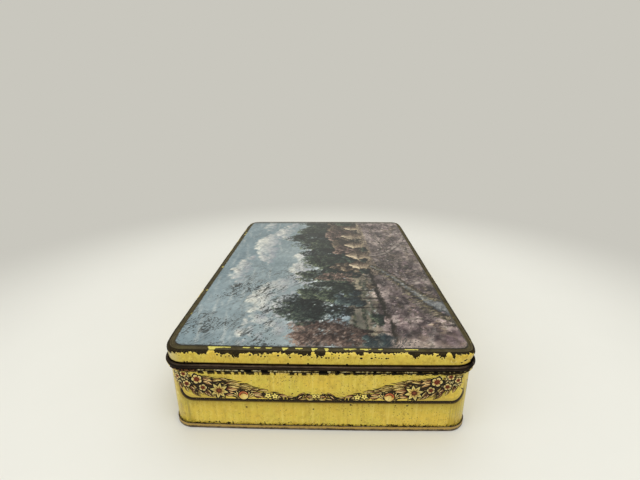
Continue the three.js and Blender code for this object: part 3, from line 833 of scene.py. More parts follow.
class Sprig:
    """Draws motifs round an anchor, mirrored when flip is -1."""

    def __init__(self, out, s0, flip, seed):
        self.out, self.s0, self.flip, self.rng = out, s0, flip, random.Random(seed)

    def put(self, pts, angle, x, z, spec):
        q = turn(pts, angle, 0, 0)
        q = q + np.array([x, z])
        q = q * np.array([self.flip, 1]) + np.array([self.s0, 0])
        if spec[0] == "radial":
            spec = ("radial", self.s0 + self.flip * spec[1], spec[2], *spec[3:])
        if spec[0] == "linear":
            spec = ("linear", self.s0 + self.flip * spec[1], spec[2], self.s0 + self.flip * spec[3], spec[4], *spec[5:])
        self.out.add(q, spec)

    def shade(self, colour, amount=10):
        k = self.rng.uniform(-amount, amount)
        return tuple(min(255, max(0, c + k)) for c in colour)

    def clump(self, x, z, r):
        self.out.mass.append((self.s0 + self.flip * x, z, r))
        n = 22
        pts = []
        for k in range(n):
            a = 2 * math.pi * k / n
            q = r * (1 + 0.16 * self.rng.uniform(-1, 1))
            pts.append((q * math.cos(a), q * math.sin(a)))
        self.put(pts, 0, x, z, ("flat", self.shade((40, 29, 14), 5)))

    def petal(self, length, width, n=9, tip=0.55, curve=0.0):
        """A petal or leaf from the origin along +X, bent to one side by curve radians."""
        up = [(length * k / n, width / 2 * math.sin(math.pi * (k / n) ** tip)) for k in range(n + 1)]
        pts = up + [(p[0], -p[1]) for p in up[-2:0:-1]]
        if curve:
            bent = []
            for x, y in pts:
                t = x / length
                a = curve * t
                bent.append((x * (1 - a * a / 6) - y * math.sin(a), x * a / 2 + y * math.cos(a)))
            pts = bent
        return pts

    def round_flower(self, x, z, r, rot=0.0, petals=5):
        n = 60
        def lobe(scale, depth):
            out = []
            for k in range(n):
                a = 2 * math.pi * k / n
                q = scale * r * (1 - depth + depth * abs(math.cos(petals * a / 2)) ** 0.55)
                out.append((q * math.cos(a), q * math.sin(a)))
            return out
        self.put(lobe(1.17, 0.24), rot, x, z, ("flat", INK))
        self.put(lobe(0.88, 0.36), rot, x, z, ("radial", x, z, r * 0.30, (190, 138, 66), r * 0.84, self.shade(CREAM, 6)))
        for k in range(petals):
            a = rot + 2 * math.pi * (k + 0.5) / petals
            self.put([(0.30 * r, -0.10 * r), (0.84 * r, -0.06 * r), (0.84 * r, 0.06 * r), (0.30 * r, 0.10 * r)], a, x, z, ("flat", (62, 36, 16)))
            a = rot + 2 * math.pi * k / petals
            self.put([(0.30 * r, -0.09 * r), (0.72 * r, 0), (0.30 * r, 0.09 * r)], a, x, z, ("flat", (132, 62, 38)))
        m = 20
        star = [(r * (0.50 if k % 2 else 0.34) * math.cos(2 * math.pi * k / m), r * (0.50 if k % 2 else 0.34) * math.sin(2 * math.pi * k / m)) for k in range(m)]
        self.put(star, rot, x, z, ("radial", x, z, 0, (58, 14, 10), r * 0.42, (118, 38, 26)))
        for k in range(4):
            a = rot + 1.57 * k + 0.4
            cx, cz = x + 0.15 * r * math.cos(a), z + 0.15 * r * math.sin(a)
            self.put([(0.05 * r, 0), (0, 0.05 * r), (-0.05 * r, 0), (0, -0.05 * r)], 0, cx, cz, ("flat", (190, 120, 60)))

    def star_flower(self, x, z, r, rot=0.0, petals=8):
        for k in range(petals):
            a = rot + 2 * math.pi * k / petals
            L = r * self.rng.uniform(0.95, 1.05)
            self.put(self.petal(L * 1.10, L * 0.64, tip=0.80), a, x, z, ("flat", INK))
        for k in range(petals):
            a = rot + 2 * math.pi * k / petals
            L = r * self.rng.uniform(0.93, 1.0)
            ca, sa = math.cos(a), math.sin(a)
            inner = [(0.06 * L + p[0] * 0.90, p[1]) for p in self.petal(L, L * 0.37, tip=0.82)]
            self.put(inner, a, x, z, ("linear", x + 0.2 * L * ca, z + 0.2 * L * sa, x + 0.62 * L * ca, z + 0.62 * L * sa, (196, 150, 70), self.shade((236, 218, 132), 5)))
            self.put([(0.25 * L, -0.05 * L), (0.72 * L, 0), (0.25 * L, 0.05 * L)], a, x, z, ("flat", (124, 72, 32)))
        n = 22
        rag = [(r * (0.33 if k % 2 else 0.25) * math.cos(2 * math.pi * k / n), r * (0.33 if k % 2 else 0.25) * math.sin(2 * math.pi * k / n)) for k in range(n)]
        self.put(rag, rot, x, z, ("flat", (64, 24, 14)))
        rag = [(0.72 * p[0], 0.72 * p[1]) for p in rag]
        self.put(rag, rot + 0.2, x, z, ("radial", x, z, 0, (156, 84, 52), r * 0.22, (98, 40, 28)))
        for k in range(7):
            a = 2 * math.pi * k / 7
            cx, cz = x + 0.13 * r * math.cos(a), z + 0.13 * r * math.sin(a)
            d = 0.028 * r
            self.put([(d, 0), (0, d), (-d, 0), (0, -d)], 0, cx, cz, ("flat", (52, 16, 10)))

    def fruit(self, x, z, r):
        """A round fruit with a red cheek over its top."""
        n = 28
        ring = [(r * math.cos(2 * math.pi * k / n), r * math.sin(2 * math.pi * k / n)) for k in range(n)]
        self.put([(1.06 * p[0], 1.06 * p[1]) for p in ring], 0, x, z, ("flat", INK))
        self.put([(0.90 * p[0], 0.90 * p[1]) for p in ring], 0, x, z, ("radial", x - 0.25 * r, z - 0.45 * r, r * 0.15, (240, 220, 138), r * 1.1, (206, 160, 74)))
        moon = [(0.90 * r * math.cos(a), 0.90 * r * math.sin(a)) for a in np.linspace(-0.25, 2.75, 18)]
        moon += [(0.62 * r * math.cos(a) - 0.05 * r, 0.56 * r * math.sin(a) - 0.06 * r) for a in np.linspace(2.7, -0.1, 16)]
        self.put(moon, 0.1, x, z, ("flat", (176, 92, 54)))
        moon = [(0.66 * r * math.cos(a) - 0.04 * r, 0.60 * r * math.sin(a) - 0.02 * r) for a in np.linspace(-0.1, 2.6, 14)]
        moon += [(0.54 * r * math.cos(a) - 0.05 * r, 0.46 * r * math.sin(a) - 0.05 * r) for a in np.linspace(2.5, 0.0, 13)]
        self.put(moon, 0.1, x, z, ("flat", (98, 34, 20)))
        moon = [(0.80 * r * math.cos(a), 0.80 * r * math.sin(a)) for a in np.linspace(1.5, 2.5, 8)]
        moon += [(0.70 * r * math.cos(a), 0.68 * r * math.sin(a)) for a in np.linspace(2.4, 1.6, 7)]
        self.put(moon, 0.1, x, z, ("flat", (222, 160, 108)))

    def long_leaf(self, x, z, length, width, rot, kind, curve=0.0):
        """A pointed leaf or bud: a black outline, a blade that pales to its tip, dark ribs and a light streak."""
        low, tip, streak = {
            "bud": ((96, 28, 22), (226, 178, 112), (248, 218, 150)),
            "leaf": ((98, 52, 24), (236, 202, 112), (250, 228, 150)),
            "green": ((58, 42, 20), (188, 158, 82), (232, 206, 122)),
            "pale": ((212, 172, 80), (244, 222, 140), (246, 228, 156)),
        }[kind]
        ca, sa = math.cos(rot + curve / 2), math.sin(rot + curve / 2)
        self.put(self.petal(length, width, tip=0.78, curve=curve), rot, x, z, ("flat", self.shade(INK, 4)))
        ratio = max(0.35, 1 - 0.82 / width)
        body = self.petal(length * 0.88, width * ratio, tip=0.78, curve=curve)
        shift = 0.055 * length
        body = [(p[0] + shift, p[1] + shift * curve / 2) for p in body]
        self.put(body, rot, x, z, ("linear", x + 0.15 * length * ca, z + 0.15 * length * sa, x + 0.85 * length * ca, z + 0.85 * length * sa, self.shade(low, 10), self.shade(tip, 8)))
        side = 1 if self.rng.random() < 0.5 else -1
        def bend(pts):
            return [(px * (1 - (curve * px / length) ** 2 / 6) - py * math.sin(curve * px / length), px * curve * px / length / 2 + py * math.cos(curve * px / length)) for px, py in pts]
        light = bend([(0.14 * length, side * 0.06 * width), (0.52 * length, side * 0.46 * width * ratio), (0.92 * length, side * 0.05 * width), (0.52 * length, side * 0.10 * width)])
        self.put(light, rot, x, z, ("flat", self.shade(streak, 6)))
        rib = bend([(0.06 * length, -side * 0.02 * width), (0.42 * length, -side * 0.20 * width * ratio), (0.78 * length, -side * 0.02 * width), (0.42 * length, side * 0.02 * width)])
        self.put(rib, rot, x, z, ("flat", self.shade((44, 18, 8), 5)))

    def fan(self, x, z, length, rot, spread, count=4, kind="pale"):
        """A half-open bloom of narrow petals."""
        for k in range(count):
            a = rot + spread * (k / (count - 1) - 0.5)
            self.long_leaf(x, z, length * self.rng.uniform(0.9, 1.08), length * 0.34, a, kind)

    def small_flower(self, x, z, r, rot=0.0):
        for k in range(5):
            a = rot + 2 * math.pi * k / 5
            self.put(self.petal(r * 1.20, r * 1.04, tip=0.66), a, x, z, ("flat", INK))
        for k in range(5):
            a = rot + 2 * math.pi * k / 5
            inner = [(0.10 * r + p[0] * 0.84, p[1] * 0.66) for p in self.petal(r, r * 0.80, tip=0.66)]
            self.put(inner, a, x, z, ("flat", self.shade((244, 226, 124), 8)))
        n = 8
        self.put([(0.22 * r * math.cos(2 * math.pi * k / n), 0.22 * r * math.sin(2 * math.pi * k / n)) for k in range(n)], 0, x, z, ("flat", (92, 40, 16)))

    def blade(self, x, z, length, rot, curve, width=0.5, colour=(64, 48, 24)):
        """A thin curved stroke that tapers to a point."""
        n = 7
        left, right = [], []
        for k in range(n + 1):
            t = k / n
            a = rot + curve * t
            px = x + length * (math.cos(rot) * t - curve * 0.5 * t * t * math.sin(rot))
            pz = z + length * (math.sin(rot) * t + curve * 0.5 * t * t * math.cos(rot))
            w = width / 2 * (math.sin(math.pi * min(1, t * 0.82 + 0.16)) ** 0.8)
            left.append((px - w * math.sin(a), pz + w * math.cos(a)))
            right.append((px + w * math.sin(a), pz - w * math.cos(a)))
        self.put(left + right[::-1], 0, 0, 0, ("flat", self.shade(colour, 8)))


def half_garland(out, s0, flip, half, seed):
    """One half of a side's garland. Places are given as (distance in from the corner, height)."""
    g = Sprig(out, s0, flip, seed)
    rng = g.rng
    far = half > 100
    spine = [(2.5, 36.6), (6, 34.6), (10, 32.6), (15, 31.0), (21, 29.6), (27, 28.8), (34, 28.0), (40, 26.4), (47, 24.6), (54, 23.4), (60, 22.6), (66, 21.4), (71, 21.4), (76, 22.2)]
    thick = [1.4, 2.2, 3.2, 4.4, 6.0, 7.4, 5.8, 5.0, 3.6, 2.6, 2.2, 1.6, 2.2, 2.8]
    if far:
        spine = spine[:-2] + [(70, 21.4), (80, 22.0), (92, 21.6), (104, 21.4), (half - 6, 21.6), (half, 22.2)]
        thick = thick[:-2] + [1.8, 2.4, 2.2, 2.0, 2.2, 2.8]
    sx, sz = np.array(spine).T
    # the leaves: (distance, height, length, width, angle down from the way to the middle, kind, bend)
    back = [
        (37.0, 30.6, 9.6, 1.9, -0.10, "green", 0.40), (40.5, 29.0, 9.0, 1.8, 0.04, "leaf", 0.30), (30.4, 32.0, 8.6, 2.0, -0.34, "green", 0.52), (31.0, 31.0, 9.2, 2.2, -0.20, "leaf", 0.40),
        (36.0, 29.8, 9.8, 2.1, 0.00, "leaf", 0.26), (38.0, 28.4, 9.0, 2.1, 0.08, "green", 0.16), (31.6, 30.0, 9.4, 2.1, -0.08, "green", 0.26), (23.4, 32.2, 6.6, 2.4, -0.52, "leaf", 0.72),
        (27.6, 34.2, 6.0, 1.8, 0.02, "leaf", 0.44), (45.0, 27.6, 7.6, 2.0, -0.06, "leaf", 0.50), (48.6, 26.8, 6.8, 2.1, -0.26, "leaf", 0.66), (18.0, 35.4, 6.4, 1.9, 0.06, "green", 0.20),
        (44.0, 26.2, 7.2, 2.0, 0.16, "green", 0.0), (25.0, 30.8, 6.2, 2.0, -0.20, "green", 0.30),
    ]
    front = [
        (18.2, 34.4, 6.8, 2.5, 0.24, "bud", 0.16), (18.4, 32.8, 6.6, 2.5, 0.38, "bud", 0.10), (31.8, 28.9, 7.8, 2.4, 0.02, "leaf", 0.10), (31.0, 27.7, 7.4, 2.8, 0.10, "bud", 0.0), (30.6, 25.6, 5.4, 2.4, 0.12, "bud", 0.0),
        (30.4, 23.6, 5.6, 2.4, 0.02, "bud", 0.0), (45.8, 25.0, 5.6, 2.4, 0.14, "bud", 0.0), (46.4, 23.0, 5.6, 2.2, 0.02, "bud", 0.0), (60.2, 24.2, 5.4, 2.2, 0.20, "bud", 0.0), (64.6, 22.6, 4.6, 1.7, 0.02, "leaf", 0.0),
        (20.4, 27.6, 6.2, 2.2, 1.00, "leaf", 0.0), (19.0, 26.0, 5.6, 2.6, 0.88, "bud", 0.0), (22.2, 27.4, 5.6, 2.2, 0.72, "bud", 0.0), (11.2, 29.2, 5.6, 2.5, 0.86, "bud", 0.0), (13.2, 29.8, 5.8, 1.6, 1.02, "pale", 0.0),
        (12.2, 27.2, 5.4, 2.2, 1.06, "green", 0.0), (14.6, 27.6, 5.4, 2.1, 0.86, "green", 0.0), (8.6, 28.8, 4.8, 2.0, 1.18, "leaf", 0.0), (4.4, 32.6, 5.6, 2.2, 1.30, "green", 0.0), (6.4, 31.6, 5.0, 1.9, 1.12, "leaf", 0.0),
        (2.8, 34.0, 4.4, 1.8, 1.48, "bud", 0.0), (12.6, 36.4, 4.4, 1.6, 2.7, "leaf", 0.0), (11.6, 34.6, 4.6, 1.8, 2.9, "bud", 0.0), (24.4, 25.0, 5.0, 1.8, 0.70, "green", 0.0), (51.0, 22.4, 4.6, 1.8, 0.0, "leaf", 0.0),
        (56.0, 21.4, 5.0, 1.7, 0.0, "green", 0.0), (36.0, 21.8, 5.0, 1.8, 0.10, "green", 0.0), (68.0, 21.6, 4.4, 1.6, -0.1, "leaf", 0.0),
        (12.4, 27.2, 5.6, 2.5, 1.15, "bud", 0.0), (13.6, 25.6, 4.6, 2.0, 1.0, "green", 0.0), (15.2, 26.4, 4.8, 2.1, 0.75, "leaf", 0.0), (14.8, 24.3, 3.6, 1.6, 0.9, "green", 0.0),
        (20.2, 25.0, 4.8, 2.1, 0.8, "bud", 0.0), (22.2, 23.7, 3.8, 1.7, 0.6, "leaf", 0.0), (5.4, 30.6, 4.6, 2.0, 1.3, "bud", 0.0), (9.8, 34.0, 4.0, 1.6, 2.4, "green", 0.0),
    ]
    if far:
        front = front[:-1]
        for k in range(int((half - 84) / 5.0) + 1):
            c = 70 + 5.0 * k
            back.append((c, 22.2 + 0.5 * math.sin(k * 2.1), 6.8, 2.1, -0.40 - 0.16 * rng.random(), ("leaf", "green", "bud")[k % 3], 0.3))
            front.append((c + 2, 21.9, 6.0, 2.2, -0.05 + 0.1 * rng.random(), ("bud", "leaf")[k % 2], 0.0))
            front.append((c + 1, 21.0, 5.0, 1.8, 0.30 + 0.1 * rng.random(), ("leaf", "green")[k % 2], 0.0))
    # the half of the middle sprig: leaves that lean in over the middle
    m = half
    back += [(m - 7.0, 21.8, 6.2, 1.8, -0.86, "leaf", 0.1), (m - 9.0, 21.6, 5.6, 1.5, -0.98, "green", 0.0)]
    front += [
        (m - 11.0, 21.0, 7.0, 2.6, -0.86, "bud", 0.0), (m - 13.8, 21.2, 4.6, 1.8, -0.42, "leaf", 0.0), (m - 15.6, 21.2, 4.2, 1.6, -0.1, "green", 0.0), (m - 5.6, 22.8, 4.8, 2.5, -0.30, "bud", 0.3),
        (m - 9.6, 20.9, 4.6, 1.6, -0.16, "leaf", 0.0), (m - 5.4, 21.2, 4.4, 1.7, 0.0, "pale", 0.0),
    ]
    flowers = [
        (4.4, 34.5, "round", 2.1), (8.6, 36.9, "round", 2.3), (9.8, 30.4, "round", 2.45), (15.7, 33.5, "round", 3.3), (18.6, 28.0, "round", 2.5), (27.4, 26.2, "star", 5.7),
        (40.8, 23.3, "fruit", 3.0), (54.4, 23.4, "small", 2.2), (58.2, 23.2, "small", 2.2),
    ]
    if far:
        flowers += [(70.5, 22.8, "star", 3.6), (81.0, 22.6, "round", 2.5), (91.5, 22.6, "fruit", 2.4), (98.5, 22.4, "small", 2.0), (102.5, 22.2, "small", 1.9)]
        if half > 118:
            flowers += [(110.5, 22.4, "small", 1.8)]

    # the dark ground that holds it together: clumps along the spine, and a dark twin of every leaf
    for k in range(len(spine) - 1):
        n = max(2, int((sx[k + 1] - sx[k]) / 1.6))
        for j in range(n):
            t = j / n
            c, z = sx[k] + (sx[k + 1] - sx[k]) * t, sz[k] + (sz[k + 1] - sz[k]) * t
            w = thick[k] + (thick[k + 1] - thick[k]) * t
            g.clump(half - c + rng.uniform(-0.4, 0.4), z + rng.uniform(-0.35, 0.35) * w, w * rng.uniform(0.48, 0.62))
    for c, z, r in [(12.5, 28.0, 1.9), (17.5, 27.4, 2.7), (21.6, 26.4, 2.2), (15.2, 30.6, 2.5), (7.0, 31.8, 2.0), (23.6, 24.2, 1.7), (33.4, 24.4, 2.1), (36.8, 23.0, 1.6),
                    (14.2, 26.0, 1.8), (20.2, 24.6, 1.5), (12.2, 33.2, 2.0), (6.6, 35.4, 1.6), (44.4, 23.4, 1.6), (28.0, 22.6, 1.6)]:
        g.clump(half - c, z, r)
    for _ in range(30):  # thin dark tips along the upper edge
        c = rng.uniform(14, 60)
        z = np.interp(c, [14, 18, 34, 45, 54, 60], [35.6, 35.4, 33.6, 29.0, 26.6, 24.2]) - rng.uniform(0, 0.8)
        g.blade(half - c, z, rng.uniform(2.6, 5.0), math.pi + rng.uniform(-0.30, 0.06), rng.uniform(0.1, 0.5), 0.62, (34, 22, 9))
    for c, z, length, width, down, kind, bend in back + front:
        g.long_leaf(half - c, z, length, width, math.pi + down + rng.uniform(-0.03, 0.03), kind, bend)
    # cream and brown pen strokes between the flowers at the corner
    for _ in range(34):
        c, z = rng.uniform(2.0, 13.5), rng.uniform(30.6, 38.2)
        a = rng.choice((0.7, 2.4)) + rng.uniform(-0.3, 0.3)
        g.blade(half - c, z, rng.uniform(1.8, 3.4), a, rng.uniform(-0.2, 0.2), 0.80, (26, 16, 6))
        g.blade(half - c, z + 0.05, rng.uniform(1.2, 2.6), a, rng.uniform(-0.2, 0.2), 0.36, (242, 226, 156))
    for _ in range(26):
        c = rng.uniform(14, 62)
        z = np.interp(c, sx, sz) + rng.uniform(-0.5, 0.5) * np.interp(c, sx, thick) * 1.5
        g.blade(half - c, z, rng.uniform(1.0, 2.4), rng.uniform(2.7, 3.6), 0.3, 0.36, (236, 212, 136))
    for c, z, kind, size in flowers:
        rot = rng.uniform(0, 1.2)
        x = half - c
        if kind == "round":
            g.round_flower(x, z, size, rot, 5)
        elif kind == "star":
            g.star_flower(x, z, size, 0.2, 8)
        elif kind == "fruit":
            k = size / 3.0
            g.fan(x + 2.4 * k, z - 1.4 * k, 4.6 * k, 1.25, 1.5, 5)
            g.fan(x - 2.6 * k, z - 1.4 * k, 4.4 * k, 1.95, 1.3, 4)
            g.fruit(x, z, size)
        else:
            g.small_flower(x, z, size, rot)
    # dark blades that curve over the middle sprig
    for x, z, length, down, bend in [(12.8, 21.8, 6.4, -0.55, 0.4), (9.6, 23.0, 5.0, -0.72, 0.5), (6.8, 23.8, 4.0, -0.50, 0.5), (4.6, 23.9, 3.8, -0.30, 0.6), (15.0, 21.2, 5.2, -0.34, 0.3), (11.2, 20.8, 6.2, -1.0, 0.3)]:
        g.blade(x, z, length, math.pi + down, bend, 0.88, INK)
    # the bloom at the very middle
    g.fan(0.5, 21.2, 3.6, 1.2, 1.6, 4)
    g.small_flower(1.0, 23.4, 1.6, 0.5)
    return g


def panel_line(out, s0, half, trim=0.0):
    """The rule that frames each side below the garland: a dark line that starts up beside the corner and rounds into the foot."""
    low, edge, r = 21.1, half - 3.6 - trim, 6.0
    path = [(-edge + 1.7, 29.2), (-edge + 0.5, 27.9)]
    path += [(-edge + r - r * math.cos(a), low + r - r * math.sin(a)) for a in np.linspace(0.0, math.pi / 2, 14)]
    path += [(x, low) for x in np.linspace(-edge + r, edge - r, 20)[1:-1]]
    path += [(edge - r + r * math.sin(a), low + r - r * math.cos(a)) for a in np.linspace(0, math.pi / 2, 14)]
    path += [(edge - 0.5, 27.9), (edge - 1.7, 29.2)]
    p = np.array(path) + np.array([s0, 0])
    d = np.gradient(p, axis=0)
    d /= np.linalg.norm(d, axis=1)[:, None]
    n = np.column_stack([-d[:, 1], d[:, 0]])
    t = np.linspace(0, 1, len(p))
    w = np.minimum(1, np.minimum(t, 1 - t) * 9 + 0.12)[:, None]
    for outer, inner, colour in ((0.0, 1.6, (224, 196, 90)), (2.3, 0.0, (98, 80, 28)), (1.6, 0.0, (30, 21, 8))):
        out.add(np.vstack([p - n * outer * w, (p + n * inner * w)[::-1]]), ("flat", colour))
    return p


def festoon():
    out = Print()
    sides = [("left", HY + QUARTER / 2, 0.0, 0.0), ("front", HX + QUARTER / 2, -1.6, 1.45), ("right", HY + QUARTER / 2, 0.0, 0.0)]
    for side, half, _, shift in sides:
        panel_line(out, S_SIDE[side] + shift, half, 0.55 if side == "front" else 0.0)
    # the back wall is split by the seam at s = 0
    for side, half, shift, _ in sides:
        s0 = S_SIDE[side] + shift
        for flip in (1, -1):
            half_garland(out, s0, flip, half - 0.4, 11)
    for s0, flip in ((0.0, 1), (PERIMETER, -1)):
        half_garland(out, s0, flip, HX + QUARTER / 2 - 0.4, 11)
    return out


def last_shape(at, shapes):
    """For each point, the number of the last shape that it lies in, counted from 1, or 0."""
    found = np.zeros(len(at), int)
    order = np.argsort(at[:, 0])
    row = at[order, 0]
    for number, q in enumerate(shapes, 1):
        near = order[np.searchsorted(row, q[:, 0].min()) : np.searchsorted(row, q[:, 0].max())]
        near = near[(at[near, 1] > q[:, 1].min()) & (at[near, 1] < q[:, 1].max())]
        if not len(near):
            continue
        x, z = at[near, 0][:, None], at[near, 1][:, None]
        x0, z0 = q.T
        x1, z1 = np.roll(x0, -1), np.roll(z0, -1)
        crosses = (z0 > z) != (z1 > z)
        side = x0 + (z - z0) * (x1 - x0) / np.where(z1 == z0, 1, z1 - z0)
        found[near[(crosses & (x < side)).sum(1) % 2 == 1]] = number
    return found


def build_wall(materials):
    out = festoon()
    s = stations(4.6, 5.6, 16, [0.22, 0.6, 2.5, 2.9, PERIMETER - 0.22, PERIMETER - 0.6, PERIMETER - 2.5, PERIMETER - 2.9])
    b = Build()
    wall, neck = WALL_OUT - HALF, -0.3 - 0.3 - HALF
    bead = []
    for k in range(23):
        u = -1 + 2 * k / 22
        base = wall + (neck - wall) * (u + 1) / 2
        bead.append((base + BEAD_OUT * (0.5 + 0.5 * math.cos(math.pi * u)) ** 0.8, BEAD_Z + u * BEAD_HALF))
    mid = chain(
        [(wall, z) for z in (WALL_FOOT, 3.2, 3.6, 12, 20, 28, 37.4, 37.8)],
        bead,
        line(bead[-1], (neck, 50.2 - HALF - 0.85), 5),
        arc(neck - 0.85, 50.2 - HALF - 0.85, 0.85, 0.85, 0, 270, 20),
    )
    left, right = sheet_faces(mid)  # the walk goes up, so the right face is the outside
    first_bead = next(i for i, p in enumerate(mid) if abs(p[1] - BEAD_LOW) < 1e-6)
    outside = [tuple(p) for p in right[first_bead:]]
    outside[0] = (WALL_OUT, BEAD_LOW)
    inside = [tuple(p) for p in left[::-1]]
    section = outside + inside + [(WALL_OUT, WALL_FOOT)]
    mats = []
    for i in range(len(section) - 1):
        if i < len(outside) - 1:
            z = (section[i][1] + section[i + 1][1]) / 2
            mats.append(1 if z < 41.3 and i < 40 else 2)
        else:
            mats.append(2)
    mats[-1] = 0

    def seam(pts, normal):
        """The lock seam: a flat strip inside the back wall and a hairline groove outside it."""
        x, y, z = pts.T
        d = edge_distance(x, y)
        inner = (d < WALL_OUT - HALF) & (y > 100) & (np.abs(x) < 2.7) & (z > 3.4) & (z < 37.7)
        pts = pts.copy()
        pts[inner, 1] -= 0.5
        groove = (d > WALL_OUT - HALF) & (y > 100) & (np.abs(x) < 0.1)
        pts[groove, 1] -= 0.13
        wave = 0.05 * np.sin(x / 19 + 0.7) * np.sin(y / 27 + 1.1) * np.clip((z - 5) / 8, 0, 1) * np.clip((38 - z) / 6, 0, 1)
        pts[:, :2] += normal * wave[:, None]
        return pts

    top_ring, low_ring = b.sweep(section, s, mats, seam)
    # the printed face, cut along the shapes
    verts = []
    for value in s:
        verts.append((value, WALL_FOOT))
    verts.append((PERIMETER, WALL_FOOT))
    n0 = len(verts)
    for value in list(s)[::-1]:
        verts.append((value, BEAD_LOW))
    verts.insert(n0, (PERIMETER, BEAD_LOW))
    # both ends of the strip carry the same heights, so that they can be joined
    heights = list(np.linspace(WALL_FOOT, BEAD_LOW, 12))[1:-1]
    right_end = [(PERIMETER, z) for z in heights]
    left_end = [(0.0, z) for z in heights[::-1]]
    ring = verts[:n0] + right_end + verts[n0:] + left_end
    points = list(ring)
    edges = [(i, (i + 1) % len(ring)) for i in range(len(ring))]
    corner_lines = [v for v in s if any(c - 1e-6 <= v <= c + QUARTER + 1e-6 for c in S_CORNER)]
    upright = [v for v in corner_lines] + [0.22, 0.6, PERIMETER - 0.22, PERIMETER - 0.6]
    index = {(round(p[0], 5), round(p[1], 5)): i for i, p in enumerate(ring)}
    for v in upright:
        edges.append((index[(round(v, 5), round(WALL_FOOT, 5))], index[(round(v, 5), round(BEAD_LOW, 5))]))
    lattice = random.Random(5)
    for i, v in enumerate(np.arange(1.2, PERIMETER - 1, 1.7)):
        for j, z in enumerate(np.arange(13.0, 37.6, 1.7)):
            points.append((v + lattice.uniform(-0.4, 0.4), z + lattice.uniform(-0.4, 0.4) + (0.85 if i % 2 else 0)))
    for v in np.arange(4.0, PERIMETER - 2, 7.0):
        for z in (5.0, 9.0):
            points.append((v + lattice.uniform(-1, 1), z + lattice.uniform(-1, 1)))
    kept = []
    for pts, spec in zip(out.polys, out.specs):
        q = pts.copy()
        q[:, 1] = np.clip(q[:, 1], 3.6, 38.0)
        q[:, 0] = np.clip(q[:, 0], 0.7, PERIMETER - 0.7)
        keep = [0]
        for k in range(1, len(q)):
            if np.hypot(*(q[k] - q[keep[-1]])) > 0.012:
                keep.append(k)
        q = q[keep]
        if len(q) < 3:
            continue
        area = 0.5 * np.sum(q[:, 0] * np.roll(q[:, 1], -1) - q[:, 1] * np.roll(q[:, 0], -1))
        if area < 0.004:
            continue
        k, m = len(points), len(q)
        edges.extend((k + i, k + (i + 1) % m) for i in range(m))
        points.extend(map(tuple, q))
        kept.append((q, spec))
    cdt = delaunay_2d_cdt([Vector(p) for p in points], edges, [], 0, 1e-4, False)
    co = np.array([tuple(v) for v in cdt[0]])
    tris = np.array([f for f in cdt[2]], int)
    topmost = last_shape(co[tris].mean(1), [q for q, _ in kept])
    base, normal = plan(np.clip(co[:, 0], 0, PERIMETER))
    xyz = np.column_stack([base + normal * (R + WALL_OUT), co[:, 1]])
    xyz = seam(xyz, normal)
    # join the strip to the rings and to itself
    start = b.count
    ids = np.zeros(len(co), int)
    fresh, seen, n = [], {}, 0
    for i, (v, z) in enumerate(co):
        near_end = v < 1e-3 or v > PERIMETER - 1e-3
        j = 0 if near_end else int(np.abs(s - v).argmin())
        if abs(z - WALL_FOOT) < 1e-3:
            ids[i] = low_ring + j
        elif abs(z - BEAD_LOW) < 1e-3:
            ids[i] = top_ring + j
        elif near_end:
            k = int(np.abs(np.array(heights) - z).argmin())
            if k not in seen:
                seen[k] = start + n
                fresh.append(xyz[i])
                n += 1
            ids[i] = seen[k]
        else:
            ids[i] = start + n
            fresh.append(xyz[i])
            n += 1
    b.add(fresh)
    first_tri = len(b.faces)
    for t in tris:
        b.face(ids[t], 0)
    me = b.mesh("body_sheet", lambda p: bow(bulge(p)))
    pts = np.concatenate(b.verts)
    store(me, "edge", edge_distance(pts[:, 0], pts[:, 1]))
    # ink for each corner of each face
    colour = np.zeros((len(me.loops), 4), np.float32)
    loop_start = np.array([p.loop_start for p in me.polygons])[first_tri:]
    mass = np.array(out.mass)
    # soft shade round the garland, on the bare yellow
    near = np.full(len(co), 99.0)
    for k in range(0, len(co), 4000):
        block = co[k : k + 4000]
        d = np.hypot(block[:, None, 0] - mass[None, :, 0], block[:, None, 1] - mass[None, :, 1]) - mass[None, :, 2]
        near[k : k + 4000] = d.min(1)
    halo = 0.62 * np.exp(-np.clip(near, 0, None) / 1.15)
    # outside the panel line the yellow is a shade more olive
    olive = np.zeros(len(co))
    for side, half, shift in [("left", HY + QUARTER / 2, 0.0), ("front", HX + QUARTER / 2, 1.45), ("right", HY + QUARTER / 2, 0.0)]:
        u = np.abs(co[:, 0] - S_SIDE[side] - shift)
        q = np.column_stack([u - (half - 3.6 - 6.2), (20.6 + 6.2) - co[:, 1]])
        d = np.hypot(np.maximum(q[:, 0], 0), np.maximum(q[:, 1], 0)) + np.minimum(np.maximum(q[:, 0], q[:, 1]), 0) - 6.2
        within = (u < half) & (co[:, 1] < 31)
        olive = np.maximum(olive, np.where(within & (d > 0), 0.9 * np.exp(-d / 3.2), 0))
    shade = np.array([*srgb(112, 92, 34)])
    for k in range(3):
        at = loop_start + k
        v = tris[:, k]
        bg = topmost == 0
        colour[at[bg], :3] = shade
        colour[at[bg], 3] = np.maximum(halo, olive)[v[bg]]
    order = np.argsort(topmost, kind="stable")
    bounds = np.searchsorted(topmost[order], np.arange(len(kept) + 2))
    for f in range(1, len(kept) + 1):
        rows = order[bounds[f] : bounds[f + 1]]
        if not len(rows):
            continue
        spec = kept[f - 1][1]
        for k in range(3):
            p = co[tris[rows, k]]
            if spec[0] == "flat":
                c = np.tile(srgb(*spec[1]), (len(rows), 1))
            elif spec[0] == "radial":
                t = np.clip((np.hypot(p[:, 0] - spec[1], p[:, 1] - spec[2]) - spec[3]) / (spec[5] - spec[3]), 0, 1)[:, None]
                c = srgb(*spec[4]) * (1 - t) + srgb(*spec[6]) * t
            else:
                a, e = np.array(spec[1:3]), np.array(spec[3:5])
                t = np.clip(((p - a) @ (e - a)) / max(float((e - a) @ (e - a)), 1e-9), 0, 1)[:, None]
